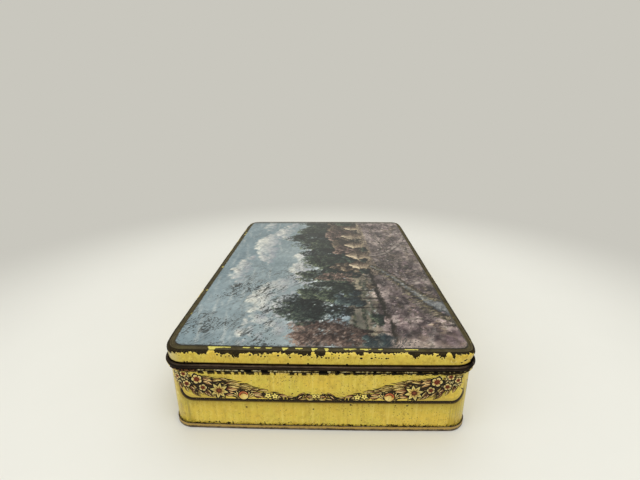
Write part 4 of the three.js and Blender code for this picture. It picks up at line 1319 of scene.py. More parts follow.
                c = srgb(*spec[5]) * (1 - t) + srgb(*spec[6]) * t
            colour[loop_start[rows] + k, :3] = c
            colour[loop_start[rows] + k, 3] = 1.0
    attribute = me.color_attributes.new("ink", "FLOAT_COLOR", "CORNER")
    attribute.data.foreach_set("color", colour.ravel())
    # true normals on the printed face, whatever the shapes cut it into
    normals = np.array([v.normal for v in me.vertices], float).reshape(-1, 3)
    flat = ids[np.abs(co[:, 1] - 20) < 17.5]
    lookup = {int(i): k for k, i in enumerate(ids)}
    rows = np.array([lookup[int(i)] for i in flat])
    good = ~((co[rows, 0] < 0.7) | (co[rows, 0] > PERIMETER - 0.7))
    normals[flat[good]] = np.column_stack([normal[rows[good]], np.zeros(good.sum())])
    me.normals_split_custom_set_from_vertices(normals.tolist())
    print("body mesh", len(me.vertices), "vertices", len(me.polygons), "faces")
    return place(me, "body_wall_fine", materials, "tin", "body_wall")


# ================================================================ the base
def build_base(materials):
    b = Build()
    inner, outer = -0.5 - 0.3 - 0.3 - HALF, -0.5 + 0.3 + HALF
    mid = chain(
        line((inner - 7.0, 2.3), (inner - 6.0, 2.3)),
        bezier((inner - 6.0, 2.3), (inner - 5.4, 2.3), (inner - 5.4, 2.75), (inner - 4.7, 2.75), 6),
        bezier((inner - 4.7, 2.75), (inner - 4.0, 2.75), (inner - 4.0, 2.3), (inner - 3.4, 2.3), 6),
        line((inner - 3.4, 2.3), (inner - 0.7, 2.3), 2),
        arc(inner - 0.7, 1.6, 0.7, 0.7, 90, 0, 7),
        line((inner, 1.6), (inner, HALF + 0.3)),
        arc(inner + 0.3, HALF + 0.3, 0.3, 0.3, 180, 270, 6),
        line((inner + 0.3, HALF), (outer - 0.3, HALF)),
        arc(outer - 0.3, HALF + 0.3, 0.3, 0.3, 270, 360, 6),
        line((outer, HALF + 0.3), (outer, 3.1), 5),
    )
    left, right = sheet_faces(mid)
    s = stations(6.0, 7.0, 14)
    # from the panel's underside round the crimp and back over its inside
    section = [tuple(p) for p in right] + [tuple(p) for p in left[::-1]]
    rim = [1 if (a[0] + c[0]) / 2 > inner - 0.8 else 0 for a, c in zip(mid[:-1], mid[1:])]
    mats = rim + [1] + [1 if k else 2 for k in rim[::-1]]
    first, last = b.sweep(section, s, mats)
    m = len(s)
    for ring, z, flip, mat in ((first, 2.15, True, 0), (last, 2.45, False, 2)):
        r = R + inner - 9.0
        rows = [(-HY - e, math.sqrt(max(r * r - e * e, 0))) for e in (r, r * 0.7)] if r > 0 else []
        rows = rows + [(-HY + 2 * HY * k / 30, max(r, 0.0)) for k in range(31)] + [(-y, w) for y, w in rows[::-1]]
        n = 20
        grid = np.array([[(-(HX + w) + 2 * (HX + w) * k / n, y, z) for k in range(n + 1)] for y, w in rows])
        start = b.add(grid.reshape(-1, 3))
        ids = np.arange(len(rows) * (n + 1)).reshape(len(rows), n + 1) + start
        for i in range(len(rows) - 1):
            for k in range(n):
                q = (ids[i, k], ids[i, k + 1], ids[i + 1, k + 1], ids[i + 1, k])
                b.face(q[::-1] if flip else q, mat)
        loop = list(ids[0, :-1]) + list(ids[:-1, -1]) + list(ids[-1, :0:-1]) + list(ids[:0:-1, 0])
        xyz = np.concatenate(b.verts)
        b.zip(loop, s_of(xyz[loop, 0], xyz[loop, 1]), list(range(ring, ring + m)), s, mat, flip)
    me = b.mesh("base_sheet")
    xyz = np.concatenate(b.verts)
    store(me, "edge", edge_distance(xyz[:, 0], xyz[:, 1]))
    return place(me, "base_pan_fine", materials, "tin", "base_pan")


# ================================================================ materials
class Net:
    """A short way to write a shader. P is the place on the object in mm, with its x, y and z."""

    def __init__(self, name):
        self.mat = bpy.data.materials.new(name)
        self.mat.use_nodes = True
        self.tree = self.mat.node_tree
        self.tree.nodes.clear()
        self.out = self.node("ShaderNodeOutputMaterial")
        self.bsdf = self.node("ShaderNodeBsdfPrincipled")
        self.tree.links.new(self.bsdf.outputs[0], self.out.inputs[0])
        coord = self.node("ShaderNodeTexCoord")
        self.P = self.vector("SCALE", coord.outputs["Object"], scale=1000.0)
        sep = self.node("ShaderNodeSeparateXYZ")
        self.tree.links.new(self.P, sep.inputs[0])
        self.x, self.y, self.z = sep.outputs

    def node(self, kind, **settings):
        n = self.tree.nodes.new(kind)
        for k, v in settings.items():
            setattr(n, k, v)
        return n

    def put(self, socket, value):
        if isinstance(value, bpy.types.NodeSocket):
            self.tree.links.new(value, socket)
        elif value is not None:
            socket.default_value = value

    def math(self, op, a, b=None, c=None, clamp=False):
        n = self.node("ShaderNodeMath", operation=op, use_clamp=clamp)
        for s, v in zip(n.inputs, (a, b, c)):
            self.put(s, v)
        return n.outputs[0]

    def add(self, *v):
        out = v[0]
        for k in v[1:]:
            out = self.math("ADD", out, k)
        return out

    def mul(self, *v):
        out = v[0]
        for k in v[1:]:
            out = self.math("MULTIPLY", out, k)
        return out

    def sub(self, a, b):
        return self.math("SUBTRACT", a, b)

    def vector(self, op, a, b=None, scale=None):
        n = self.node("ShaderNodeVectorMath", operation=op)
        self.put(n.inputs[0], a)
        if b is not None:
            self.put(n.inputs[1], b)
        if scale is not None:
            self.put(n.inputs[3], scale)
        return n.outputs["Value"] if op in ("LENGTH", "DOT_PRODUCT", "DISTANCE") else n.outputs[0]

    def combine(self, x=0.0, y=0.0, z=0.0):
        n = self.node("ShaderNodeCombineXYZ")
        for s, v in zip(n.inputs, (x, y, z)):
            self.put(s, v)
        return n.outputs[0]

    def noise(self, scale, detail=2.0, rough=0.5, at=None, out="Fac", distortion=0.0):
        n = self.node("ShaderNodeTexNoise")
        self.put(n.inputs["Vector"], self.P if at is None else at)
        n.inputs["Scale"].default_value = scale
        n.inputs["Detail"].default_value = detail
        n.inputs["Roughness"].default_value = rough
        n.inputs["Distortion"].default_value = distortion
        return n.outputs[out]

    def cells(self, scale, at=None, feature="F1", out="Distance", randomness=1.0):
        n = self.node("ShaderNodeTexVoronoi", feature=feature)
        self.put(n.inputs["Vector"], self.P if at is None else at)
        n.inputs["Scale"].default_value = scale
        n.inputs["Randomness"].default_value = randomness
        return n.outputs[out]

    def shift(self, x, y, z, at=None):
        return self.vector("ADD", self.P if at is None else at, (x, y, z))

    def stretch(self, x, y, z, at=None):
        return self.vector("MULTIPLY", self.P if at is None else at, (x, y, z))

    def span(self, value, a, b, c=0.0, d=1.0, smooth=True):
        """Maps a..b to c..d, held outside it."""
        n = self.node("ShaderNodeMapRange", interpolation_type="SMOOTHSTEP" if smooth else "LINEAR")
        self.put(n.inputs["Value"], value)
        for key, v in zip(("From Min", "From Max", "To Min", "To Max"), (a, b, c, d)):
            self.put(n.inputs[key], v)
        return n.outputs["Result"]

    def mix(self, t, a, b):
        n = self.node("ShaderNodeMix", data_type="RGBA")
        self.put(n.inputs[0], t)
        self.put(n.inputs[6], a)
        self.put(n.inputs[7], b)
        return n.outputs[2]

    def blend(self, t, a, b):
        n = self.node("ShaderNodeMix", data_type="FLOAT")
        self.put(n.inputs[0], t)
        self.put(n.inputs[2], a)
        self.put(n.inputs[3], b)
        return n.outputs[0]

    def tint(self, colour, factor):
        """Multiplies a colour by a number."""
        n = self.node("ShaderNodeVectorMath", operation="SCALE")
        self.put(n.inputs[0], colour[:3] if isinstance(colour, tuple) else colour)
        self.put(n.inputs[3], factor)
        return n.outputs[0]

    def ramp(self, value, stops, interpolation="LINEAR"):
        """stops: (place from 0 to 1, a number or a colour)."""
        n = self.node("ShaderNodeValToRGB")
        e = n.color_ramp.elements
        n.color_ramp.interpolation = interpolation
        stops = [(p, c if isinstance(c, tuple) else (c, c, c, 1.0)) for p, c in stops]
        e[0].position, e[0].color = stops[0]
        e[1].position, e[1].color = stops[-1]
        for p, c in stops[1:-1]:
            k = e.new(p)
            k.color = c
        self.put(n.inputs[0], value)
        return n.outputs["Color"]

    def attribute(self, name):
        n = self.node("ShaderNodeAttribute", attribute_name=name)
        return n

    def bump(self, height, distance, strength=1.0, normal=None):
        n = self.node("ShaderNodeBump")
        n.inputs["Strength"].default_value = strength
        n.inputs["Distance"].default_value = distance
        self.put(n.inputs["Height"], height)
        self.put(n.inputs["Normal"], normal)
        return n.outputs[0]

    def finish(self, colour, roughness, normal=None, metallic=None, coat=None, specular=0.10):
        """The dull body of the surface, and the varnish over it as a coat."""
        self.put(self.bsdf.inputs["Base Color"], colour)
        self.put(self.bsdf.inputs["Roughness"], roughness)
        self.put(self.bsdf.inputs["Normal"], normal)
        self.put(self.bsdf.inputs["Metallic"], metallic)
        if coat is not None:
            self.put(self.bsdf.inputs["Coat Weight"], coat)
            self.bsdf.inputs["Coat Roughness"].default_value = 0.22
            self.bsdf.inputs["Specular IOR Level"].default_value = specular
        return self.mat


TABLE, ROOM = (229, 229, 224), (201, 199, 190)


def picture_material():
    n = Net("lid_picture")
    a, b = n.attribute("paint_a"), n.attribute("paint_b")
    edge = n.attribute("edge").outputs["Fac"]
    # fine dabs choose between the two variants of the painting
    fleck = n.noise(1.35, 3.0, 0.62)
    pick = n.span(n.add(fleck, n.mul(n.noise(0.45, 1.0, 0.5, n.shift(31, 7, 3)), 0.35)), 0.58, 0.74)
    colour = n.mix(pick, a.outputs["Color"], b.outputs["Color"])
    # dab relief in tone
    tone = n.add(0.90, n.mul(n.noise(2.3, 3.0, 0.65, n.stretch(1.0, 0.62, 1.0)), 0.20))
    colour = n.tint(colour, tone)
    # darker in a band along the far edge, towards its step
    colour = n.mix(n.mul(n.span(n.y, 109.5, 113.5), 0.6), colour, rgba(68, 68, 60))
    # rubbed and scratched: mostly over the sky towards the near end
    worn = n.mul(n.span(n.x, 12.0, -30.0), n.span(n.y, 28.0, -50.0))
    worn = n.math("MAXIMUM", worn, n.mul(n.span(n.y, -98.0, -114.0), 0.8))
    worn = n.add(n.mul(worn, n.span(n.noise(0.035, 2.0), 0.36, 0.62)), 0.06)
    c, s = math.cos(math.radians(62)), math.sin(math.radians(62))
    along = n.add(n.mul(n.x, c), n.mul(n.y, s))
    across = n.sub(n.mul(n.y, c), n.mul(n.x, s))
    wavy = n.add(across, n.mul(n.noise(0.05, 2.0), 15.0))
    streak = n.noise(1.0, 2.0, 0.6, n.combine(n.mul(along, 0.24), n.mul(wavy, 1.7), 0.0))
    marks = n.span(n.add(streak, n.mul(n.sub(worn, 0.5), 0.17)), 0.695, 0.725)
    specks = n.cells(0.62, n.shift(3, 9, 0))
    size = n.mul(n.noise(0.62, 0.0, 0.5, n.shift(50, 20, 0)), n.add(0.10, n.mul(worn, 0.62)))
    marks = n.math("MAXIMUM", marks, n.span(n.sub(size, specks), 0.0, 0.05))
    dust = n.cells(0.21, n.shift(13, 5, 0))
    marks = n.math("MAXIMUM", marks, n.mul(n.span(dust, 0.075, 0.04), 0.75))
    # the near edge of the panel is chipped in short flecks
    rim = n.mul(n.span(edge, -8.2, -6.4), n.span(n.y, -108.0, -113.0))
    chips = n.noise(0.8, 2.0, 0.6, n.stretch(0.55, 1.6, 1.0))
    thick = n.mul(n.span(n.math("ABSOLUTE", n.add(n.x, 21.0)), 12.0, 7.0), 0.09)
    marks = n.math("MAXIMUM", marks, n.mul(rim, n.span(n.add(chips, thick), 0.56, 0.60)))
    every = n.mul(n.span(edge, -6.7, -5.9), n.span(n.noise(0.5, 3.0, 0.6), 0.50, 0.56))
    marks = n.math("MAXIMUM", marks, n.mul(every, 0.8))
    colour = n.mix(n.mul(marks, 0.82), colour, rgba(62, 66, 64))
    # long fine scratches that curve over the sky, in two directions
    c2, s2 = math.cos(math.radians(47)), math.sin(math.radians(47))
    along2, across2 = n.add(n.mul(n.x, c2), n.mul(n.y, s2)), n.sub(n.mul(n.y, c2), n.mul(n.x, s2))
    thin = n.span(n.math("ABSOLUTE", n.sub(n.noise(1.0, 1.0, 0.5, n.combine(n.mul(along, 0.016), n.mul(wavy, 0.21), 0.0)), 0.5)), 0.022, 0.009)
    thin2 = n.span(n.math("ABSOLUTE", n.sub(n.noise(1.0, 1.0, 0.5, n.combine(n.mul(along2, 0.024), n.mul(across2, 0.24), 5.0)), 0.5)), 0.020, 0.008)
    broken = n.span(n.add(n.noise(0.11, 3.0, 0.6, n.shift(33, 3, 0)), n.mul(worn, 0.16)), 0.54, 0.62)
    thin = n.mul(n.math("MAXIMUM", thin, thin2), n.mul(broken, n.add(0.12, n.mul(worn, 0.9))))
    colour = n.mix(n.mul(thin, 0.9), colour, rgba(56, 60, 60))
    pale = n.noise(1.0, 2.0, 0.6, n.combine(n.mul(along, 0.11), n.mul(n.add(wavy, 40.0), 1.9), 3.0))
    colour = n.mix(n.mul(n.span(pale, 0.70, 0.73), 0.35), colour, rgba(186, 190, 186))
    # painted shade: a thin dark line down the step, where its lower side lies in shadow
    colour = n.mix(n.span(edge, -5.95, -5.55), colour, rgba(50, 48, 38))
    height = n.add(n.mul(n.noise(1.4, 3.0, 0.6), 0.4), n.mul(n.noise(0.09, 2.0, 0.5), 2.0))
    height = n.sub(height, n.mul(marks, 0.8))
    rough = n.add(0.24, n.mul(n.noise(0.12, 3.0, 0.6), 0.20), n.mul(marks, 0.25))
    return n.finish(colour, rough, n.bump(height, 0.00003, 0.6), coat=n.sub(0.34, n.mul(marks, 0.25)), specular=0.16)


def enamel_material():
    """The border, the rounded edge and the skirt: paint left in chips over dark bare tin."""
    n = Net("lid_enamel")
    edge = n.attribute("edge").outputs["Fac"]
    fall = n.sub(BORDER_Z, n.z)  # below the border, in mm
    foot = n.add(edge, 4.9)  # outwards from the panel's foot
    front = n.span(n.y, -110.5, -112.5)
    across = n.mul(n.add(n.x, 84.0), 1 / 168.0)
    # down from the crease where the border starts to round, over the edge and down the skirt
    turned = n.sub(1.0, n.mul(n.math("MINIMUM", fall, 2.0), 0.5))
    round_ = n.math("SQRT", n.math("MAXIMUM", n.sub(1.0, n.mul(turned, turned)), 0.0))
    below = n.add(fall, n.mul(round_, 1.53), -0.26)
    finer = n.noise(2.6, 2.0, 0.6, n.shift(9, 4, 2))
    bites = n.cells(0.62, n.shift(1.1, 2.3, 0.4))
    ragged = n.add(n.mul(n.sub(bites, 0.50), 2.5), n.mul(n.sub(n.noise(1.5, 3.0, 0.6), 0.5), 2.2), n.mul(n.sub(finer, 0.5), 1.0))
    # how far the paint is gone below the crease, in mm, along the front
    deep = [(-84, 5.0), (-79, 3.2), (-76, 2.4), (-70, 1.9), (-65.5, 1.6), (-64, 3.2), (-59.2, 2.2), (-58.0, -1.6), (-56.2, -1.4), (-54.8, 2.2), (-47, 3.0),
            (-45.8, 4.2), (-42.6, 4.2), (-41.6, 2.1), (-30, 2.4), (-24, 1.3), (-18.0, 0.6), (-16.9, 3.3), (-11.2, 0.9), (-9.4, 2.8), (-4, 2.5), (-3.0, -0.6),
            (-1.8, 3.2), (3.2, 2.9), (4.1, -1.6), (6, 0.8), (20, 0.6), (39, 1.2), (46.5, 0.2), (49, 3.6), (55, 1.6), (84, 1.2)]
    deep2 = [(-84, 0.0), (19, 0.0), (21.5, 1.6), (23.0, 1.4), (24, 0.0), (56, 0.0), (61.5, 0.0), (63.6, 1.8), (65.4, 2.6), (68.2, -1.4), (69.4, 0.4), (70.0, 2.9), (70.9, 2.7), (71.6, 0.5), (74, 0.7), (78, 0.5), (80.4, 0.4), (82.2, 2.4), (84, 4.0)]
    wobble = n.add(across, n.mul(n.sub(n.noise(0.7, 2.0, 0.6, n.shift(0, 0, 60)), 0.5), 0.012))

    def profile(stops, low, high):
        return [((x + 84) / 168, (v - low) / (high - low)) for x, v in stops]

    gone = n.add(n.mul(n.ramp(wobble, profile(deep, -2, 4.5)), 6.5), -2.0)
    gone = n.add(gone, n.mul(n.ramp(wobble, profile(deep2, -2, 4)), 6.0), -2.0)
    elsewhere = n.add(n.span(n.x, -60.0, 60.0, 0.3, 1.3), n.mul(n.span(n.noise(0.055, 2.0, 0.55), 0.36, 0.68), 4.0))
    gone = n.blend(front, elsewhere, gone)
    depth = n.sub(below, gone)  # above 0 there is paint
    paint = n.span(n.add(depth, ragged), -0.04, 0.08)
    # round chips, thicker on the ground near the bare edge
    chip_at = n.shift(1.7, 2.2, 0.9)
    chip = n.cells(0.8, chip_at)
    pick = n.node("ShaderNodeSeparateColor")
    n.put(pick.inputs[0], n.cells(0.8, chip_at, out="Color"))
    size = n.sub(n.mul(n.span(pick.outputs[0], 0.55, 1.0), 0.42), n.mul(n.span(depth, 0.3, 3.0), 0.40))
    paint = n.mul(paint, n.span(n.sub(chip, size), 0.0, 0.05))
    # pin-head chips: a row along the right half, some under the bare edge and some low down by the curl
    pins = [(-71.3, 50.5, 0.5), (-63.2, 50.3, 0.6), (-54.7, 51.2, 0.5), (-53.7, 50.0, 0.5), (-51.6, 49.3, 0.55), (-47.3, 49.4, 0.5), (-45.2, 49.2, 0.6),
            (-42.6, 49.4, 0.5), (-36.2, 50.2, 0.6), (-30.4, 49.4, 0.5), (-28.3, 49.4, 0.5), (-21.4, 50.1, 0.6), (-15.1, 49.0, 0.6), (-3.6, 49.2, 0.4),
            (-0.9, 49.0, 0.45), (1.6, 49.2, 0.5), (3.9, 49.0, 0.55), (5.4, 49.1, 0.5), (7.9, 49.1, 0.35), (10.5, 49.1, 0.5), (15.2, 49.6, 0.4), (22.3, 49.0, 0.75),
            (27.7, 49.0, 0.65), (29.6, 49.6, 0.4), (31.6, 49.1, 0.4), (32.9, 48.9, 0.4), (35.4, 48.9, 0.6), (36.4, 49.0, 0.4),
            (-71.8, 45.1, 0.5), (-70.3, 45.3, 0.45), (-67.6, 45.2, 0.4), (-16.2, 45.3, 0.55), (-5.6, 45.3, 0.55), (14.9, 45.1, 0.6), (32.9, 45.3, 0.3),
            (75.0, 46.3, 0.5), (76.8, 47.5, 0.6), (77.5, 47.9, 0.5), (80.9, 46.2, 0.7), (81.8, 45.4, 0.9)]
    flat = n.combine(n.mul(n.x, 0.8), 0.0, n.z)
    near = None
    for px, pz, pr in pins:
        gap = n.sub(n.vector("DISTANCE", flat, (0.8 * px, 0.0, pz)), 0.8 * pr)
        near = gap if near is None else n.math("MINIMUM", near, gap)
    near = n.add(near, n.mul(n.sub(finer, 0.5), 0.5))
    holes = n.mul(front, n.span(near, 0.10, -0.04))
    paint = n.mul(paint, n.sub(1.0, holes))
    # on the border the paint is left only in chips along the panel's foot
    left = [(-84, 0), (-60.2, 0), (-59.2, 0.9), (-58.4, 5.0), (-56.4, 4.4), (-55.0, 1.5), (-52.6, 0.8), (-48.0, 0.8), (-47.2, 0), (-41.2, 0), (-40.5, 0.8),
            (-37.4, 0.8), (-36.6, 0), (-19.4, 0), (-18.7, 3.4), (-17.4, 1.5), (-16.2, 0), (-13.2, 0), (-12.4, 0.9), (-9.2, 1.1), (-8.6, 0), (-4.0, 0),
            (-3.2, 3.6), (-1.2, 0.8), (-0.5, 0), (3.2, 0), (3.9, 5.0), (4.7, 4.6), (5.3, 0), (84, 0)]
    left2 = [(-84, 0), (-34.8, 0), (-34.0, 0.6), (-31.6, 0.6), (-30.8, 0), (-28.6, 0), (-28.0, 0.8), (-25.6, 0.8), (-25.0, 0), (12.6, 0), (13.4, 0.7), (14.8, 1.9), (15.5, 0),
             (16.4, 1.9), (19.5, 0.7), (20.3, 0), (21.9, 0.2), (23.4, 1.6), (25.6, 1.7), (26.3, 0), (27.3, 0.9), (28.2, 0), (31.0, 0), (31.8, 1.2), (33.2, 1.2), (34.0, 0),
             (45.0, 0), (45.8, 0.9), (52.3, 0.9), (53.1, 0), (84, 0)]
    keep = n.math("MAXIMUM", n.ramp(wobble, profile(left, 0, 5)), n.ramp(wobble, profile(left2, 0, 5)))
    keep = n.mul(keep, 5.0)
    keep_else = n.sub(n.mul(n.span(n.noise(0.10, 2.0, 0.6, n.shift(17, 3, 0)), 0.60, 0.76), 2.2), 0.5)
    keep = n.blend(front, keep_else, keep)
    chips = n.span(n.sub(n.add(keep, n.mul(n.sub(finer, 0.5), 1.8), n.mul(n.sub(bites, 0.45), 1.2)), n.add(foot, 0.25)), -0.03, 0.08)
    chips = n.mul(chips, n.span(keep, 0.25, 0.5))
    outer = n.mul(n.span(foot, 2.2, 2.6), n.span(n.noise(0.085, 3.0, 0.65, n.shift(5, 44, 0)), 0.62, 0.67))
    outer = n.mul(outer, n.sub(1.0, front))
    chips = n.math("MAXIMUM", chips, n.mul(outer, n.span(finer, 0.46, 0.54)))
    on_border = n.span(below, 0.06, -0.06)
    mask = n.blend(on_border, paint, chips)
    # bare tin: bands along the border, darker and browner outwards, with a film of old olive varnish
    streaks = n.noise(1.0, 2.0, 0.5, n.combine(n.mul(foot, 2.4), n.mul(fall, 2.0), n.mul(n.add(n.x, n.y), 0.02)))
    blotch = n.noise(0.16, 4.0, 0.6)
    bare = n.mix(n.span(n.add(n.mul(streaks, 0.6), n.mul(blotch, 0.4)), 0.36, 0.66), rgba(54, 47, 29), rgba(90, 82, 57))
    bare = n.mix(n.mul(n.span(n.noise(1.9, 3.0, 0.6), 0.60, 0.70), 0.35), bare, rgba(124, 116, 92))
    bare = n.mix(n.mul(n.span(n.noise(1.3, 3.0, 0.6, n.shift(7, 7, 7)), 0.58, 0.68), 0.6), bare, rgba(44, 36, 18))
    olive = n.mul(n.span(n.noise(0.12, 3.0, 0.6, n.shift(60, 17, 0)), 0.52, 0.66), 0.3)
    bare = n.mix(olive, bare, rgba(92, 88, 44))
    dark = n.mix(n.span(n.noise(0.9, 3.0, 0.6, n.shift(70, 7, 9)), 0.40, 0.62), rgba(30, 23, 8), rgba(50, 41, 17))
    bare = n.mix(n.span(below, -0.1, 0.25), bare, dark)
    bare = n.mix(n.mul(n.span(n.add(depth, ragged), -0.7, -0.05), n.mul(n.span(below, 0.0, 0.5), 0.6)), bare, rgba(22, 15, 5))
    # paint
    warm = n.span(n.noise(0.085, 3.0, 0.6), 0.38, 0.66)
    colour = n.mix(warm, rgba(215, 193, 77), rgba(219, 187, 72))
    colour = n.mix(n.mul(n.span(n.noise(0.3, 4.0, 0.65, n.shift(4, 60, 2)), 0.44, 0.66), 0.55), colour, rgba(180, 152, 54))
    colour = n.mix(n.mul(n.span(n.noise(0.45, 4.0, 0.65, n.shift(24, 6, 82)), 0.50, 0.70), 0.45), colour, rgba(238, 216, 108))
    # painted highlight: the paint is paler just inside its worn edges
    lip_highlight = n.span(n.add(depth, ragged), 0.70, 0.10)
    colour = n.mix(n.mul(lip_highlight, 0.55), colour, rgba(238, 216, 124))
    # painted highlight: paler paint round the pin-head chips
    halo = n.mul(front, n.mul(n.span(near, 0.55, 0.15), 0.35))
    colour = n.mix(halo, colour, rgba(238, 214, 110))
    colour = n.mix(n.mul(n.span(n.noise(1.1, 3.0, 0.7, n.stretch(1, 1, 0.35)), 0.56, 0.68), 0.6), colour, rgba(160, 126, 42))
    # a small blister, drawn in painted light and shade: a painted highlight ring over its lower half and painted shade
    # inside it
    ring = n.vector("DISTANCE", flat, (0.8 * 70.6, 0.0, 47.6))
    ring_on = n.mul(front, n.mul(n.span(ring, 0.60, 0.80), n.span(ring, 1.50, 1.20)))
    colour = n.mix(n.mul(ring_on, n.span(n.z, 48.2, 47.2, 0.0, 0.55)), colour, rgba(232, 214, 130))
    colour = n.mix(n.mul(front, n.mul(n.span(ring, 0.90, 0.60), 0.6)), colour, rgba(150, 122, 44))
    # painted highlight: the skirt paler towards the near left corner, where it turns to the light
    pale = n.mul(n.span(n.x, -72.0, -80.0), n.span(n.y, -108.0, -114.0))
    colour = n.mix(n.mul(pale, 0.55), colour, rgba(208, 198, 150))
    # painted shade: the skirt duller at its very left end, where it turns away round the corner
    dull = n.mul(front, n.span(n.x, -79.5, -82.5))
    colour = n.mix(n.mul(dull, 0.5), colour, rgba(142, 124, 92))
    lemon = n.mix(n.span(finer, 0.35, 0.6), rgba(196, 184, 78), rgba(216, 208, 112))
    lemon = n.mix(front, rgba(162, 152, 74), lemon)
    colour = n.mix(on_border, colour, lemon)
    # painted shade: the paint browns towards the slot above the curl
    colour = n.mix(n.mul(n.span(fall, 6.5, 6.9), 0.85), colour, rgba(92, 66, 20))
    final = n.mix(mask, bare, colour)
    crease = n.mul(n.span(foot, 2.72, 2.95), n.span(foot, 3.62, 3.30))
    final = n.mix(n.mul(crease, 0.82), final, rgba(34, 27, 10))
    # painted shadow: black in the slot between the skirt and the curl
    final = n.mix(n.span(fall, 6.86, 7.12), final, rgba(6, 4, 1))
    height = n.add(n.mul(mask, 1.0), n.mul(n.noise(2.6, 3.0, 0.6), 0.25))
    rough = n.blend(mask, n.add(0.46, n.mul(blotch, 0.2)), n.add(0.34, n.mul(n.noise(0.4, 3.0), 0.18)))
    return n.finish(final, rough, n.bump(height, 0.00005, 0.7), n.mul(n.sub(1.0, mask), 0.10), coat=n.mul(mask, 0.30))


def curl_material():
    """The hem curl, rubbed to brown-black metal, with painted shade along its underside and a painted highlight near
    its top, and bits of paint and bright rubs at its corners.
    """
    n = Net("lid_curl")
    up = n.add(n.z, n.mul(n.sub(n.noise(0.5, 3.0, 0.6), 0.5), 0.5))
    # banded by height: painted shade, black, along the underside and a painted highlight band near the top
    colour = n.ramp(n.span(up, 41.4, 44.4, smooth=False), [(0.0, rgba(2, 1, 0)), (0.34, rgba(3, 2, 1)), (0.42, rgba(40, 31, 22)), (0.54, rgba(66, 53, 41)), (0.68, rgba(22, 15, 9)), (0.77, rgba(38, 29, 20)), (0.87, rgba(90, 75, 60)), (1.0, rgba(80, 65, 51))])
    rub = n.noise(0.22, 4.0, 0.6)
    along = n.noise(1.0, 3.0, 0.55, n.combine(n.mul(n.x, 0.12), n.mul(n.y, 0.12), n.mul(n.z, 1.8)))
    colour = n.mix(n.mul(n.span(n.add(n.mul(rub, 0.5), n.mul(along, 0.5)), 0.60, 0.40), 0.55), colour, rgba(26, 17, 9))
    colour = n.mix(n.mul(n.span(n.noise(1.4, 3.0, 0.65), 0.58, 0.66), 0.5), colour, rgba(16, 10, 5))
    colour = n.mix(n.mul(n.span(n.noise(0.9, 3.0, 0.7, n.shift(3, 3, 30)), 0.66, 0.72), 0.4), colour, rgba(112, 96, 80))
    corner = n.mul(n.span(n.math("ABSOLUTE", n.x), 80.5, 83.0), n.span(n.math("ABSOLUTE", n.y), 115.0, 119.0))
    flake = n.span(n.noise(0.6, 3.0, 0.6, n.stretch(1, 1, 0.7)), n.span(n.x, -80.0, 80.0, 0.43, 0.48), n.span(n.x, -80.0, 80.0, 0.47, 0.51))
    # darker at the near left end, and blackened round the near right corner
    colour = n.mix(n.mul(n.span(n.x, -62.0, -74.0), n.mul(n.span(n.y, -100.0, -116.0), 0.6)), colour, rgba(16, 10, 5))
    sooty = n.mul(n.span(n.x, 76.0, 80.5), n.span(n.y, -104.0, -112.0))
    colour = n.mix(n.mul(sooty, n.span(n.add(n.noise(0.4, 3.0, 0.6, n.shift(9, 60, 3)), n.mul(n.span(n.z, 43.0, 44.2), 0.12)), 0.42, 0.52)), colour, rgba(10, 6, 3))
    # painted shade: black along the underside, except in the paint flakes at the corners
    colour = n.mix(n.mul(n.span(n.z, 42.55, 42.30), n.sub(1.0, n.mul(corner, flake))), colour, rgba(3, 2, 1))
    colour = n.mix(n.mul(corner, n.mul(flake, n.span(n.z, 43.1, 42.7))), colour, rgba(226, 200, 118))
    rough = n.add(0.42, n.mul(n.noise(0.8, 3.0), 0.2))
    return n.finish(colour, rough, n.bump(n.noise(2.2, 3.0, 0.6), 0.00005, 0.6), coat=n.span(n.z, 42.8, 43.8, 0.0, 0.10), specular=0.03)


def tinplate_material(name, low, high):
    """Bare or gold-lacquered tinplate on the hidden faces: grain, stains, fine scratches and some rust."""
    n = Net(name)
    grain = n.noise(1.0, 2.0, 0.5, n.combine(n.mul(n.x, 2.6), n.mul(n.y, 0.06), n.mul(n.z, 0.5)))
    cloud_ = n.noise(0.03, 4.0, 0.6)
    colour = n.mix(n.span(n.add(n.mul(grain, 0.35), n.mul(cloud_, 0.65)), 0.34, 0.66), low, high)
    spangle = n.cells(0.16, n.stretch(1, 1, 1), out="Color")
    sep = n.node("ShaderNodeSeparateColor")
    n.put(sep.inputs[0], spangle)
    colour = n.tint(colour, n.add(0.94, n.mul(sep.outputs[0], 0.12)))
    stain = n.span(n.noise(0.06, 5.0, 0.65, n.shift(100, 30, 0)), 0.56, 0.66)
    colour = n.mix(n.mul(stain, 0.45), colour, rgba(96, 74, 44))
    rust = n.mul(n.span(n.noise(0.35, 5.0, 0.7, n.shift(8, 80, 0)), 0.62, 0.68), n.span(cloud_, 0.42, 0.56))
    colour = n.mix(n.mul(rust, 0.8), colour, rgba(112, 62, 32))
    line_ = n.noise(1.0, 1.0, 0.5, n.combine(n.mul(n.add(n.x, n.mul(n.y, 0.7)), 0.05), n.mul(n.sub(n.y, n.mul(n.x, 0.7)), 3.0), n.mul(n.z, 0.2)))
    scratch = n.span(line_, 0.71, 0.74)
    colour = n.mix(n.mul(scratch, 0.4), colour, rgba(206, 200, 180))
    height = n.add(n.mul(grain, 0.3), n.mul(cloud_, 1.2), n.mul(rust, 0.5))
    rough = n.add(0.30, n.mul(cloud_, 0.18), n.mul(rust, 0.35), n.mul(stain, 0.1))
    metal = n.sub(0.88, n.mul(n.math("MAXIMUM", rust, n.mul(stain, 0.4)), 0.75))
    return n.finish(colour, rough, n.bump(height, 0.00005, 0.5), metal)


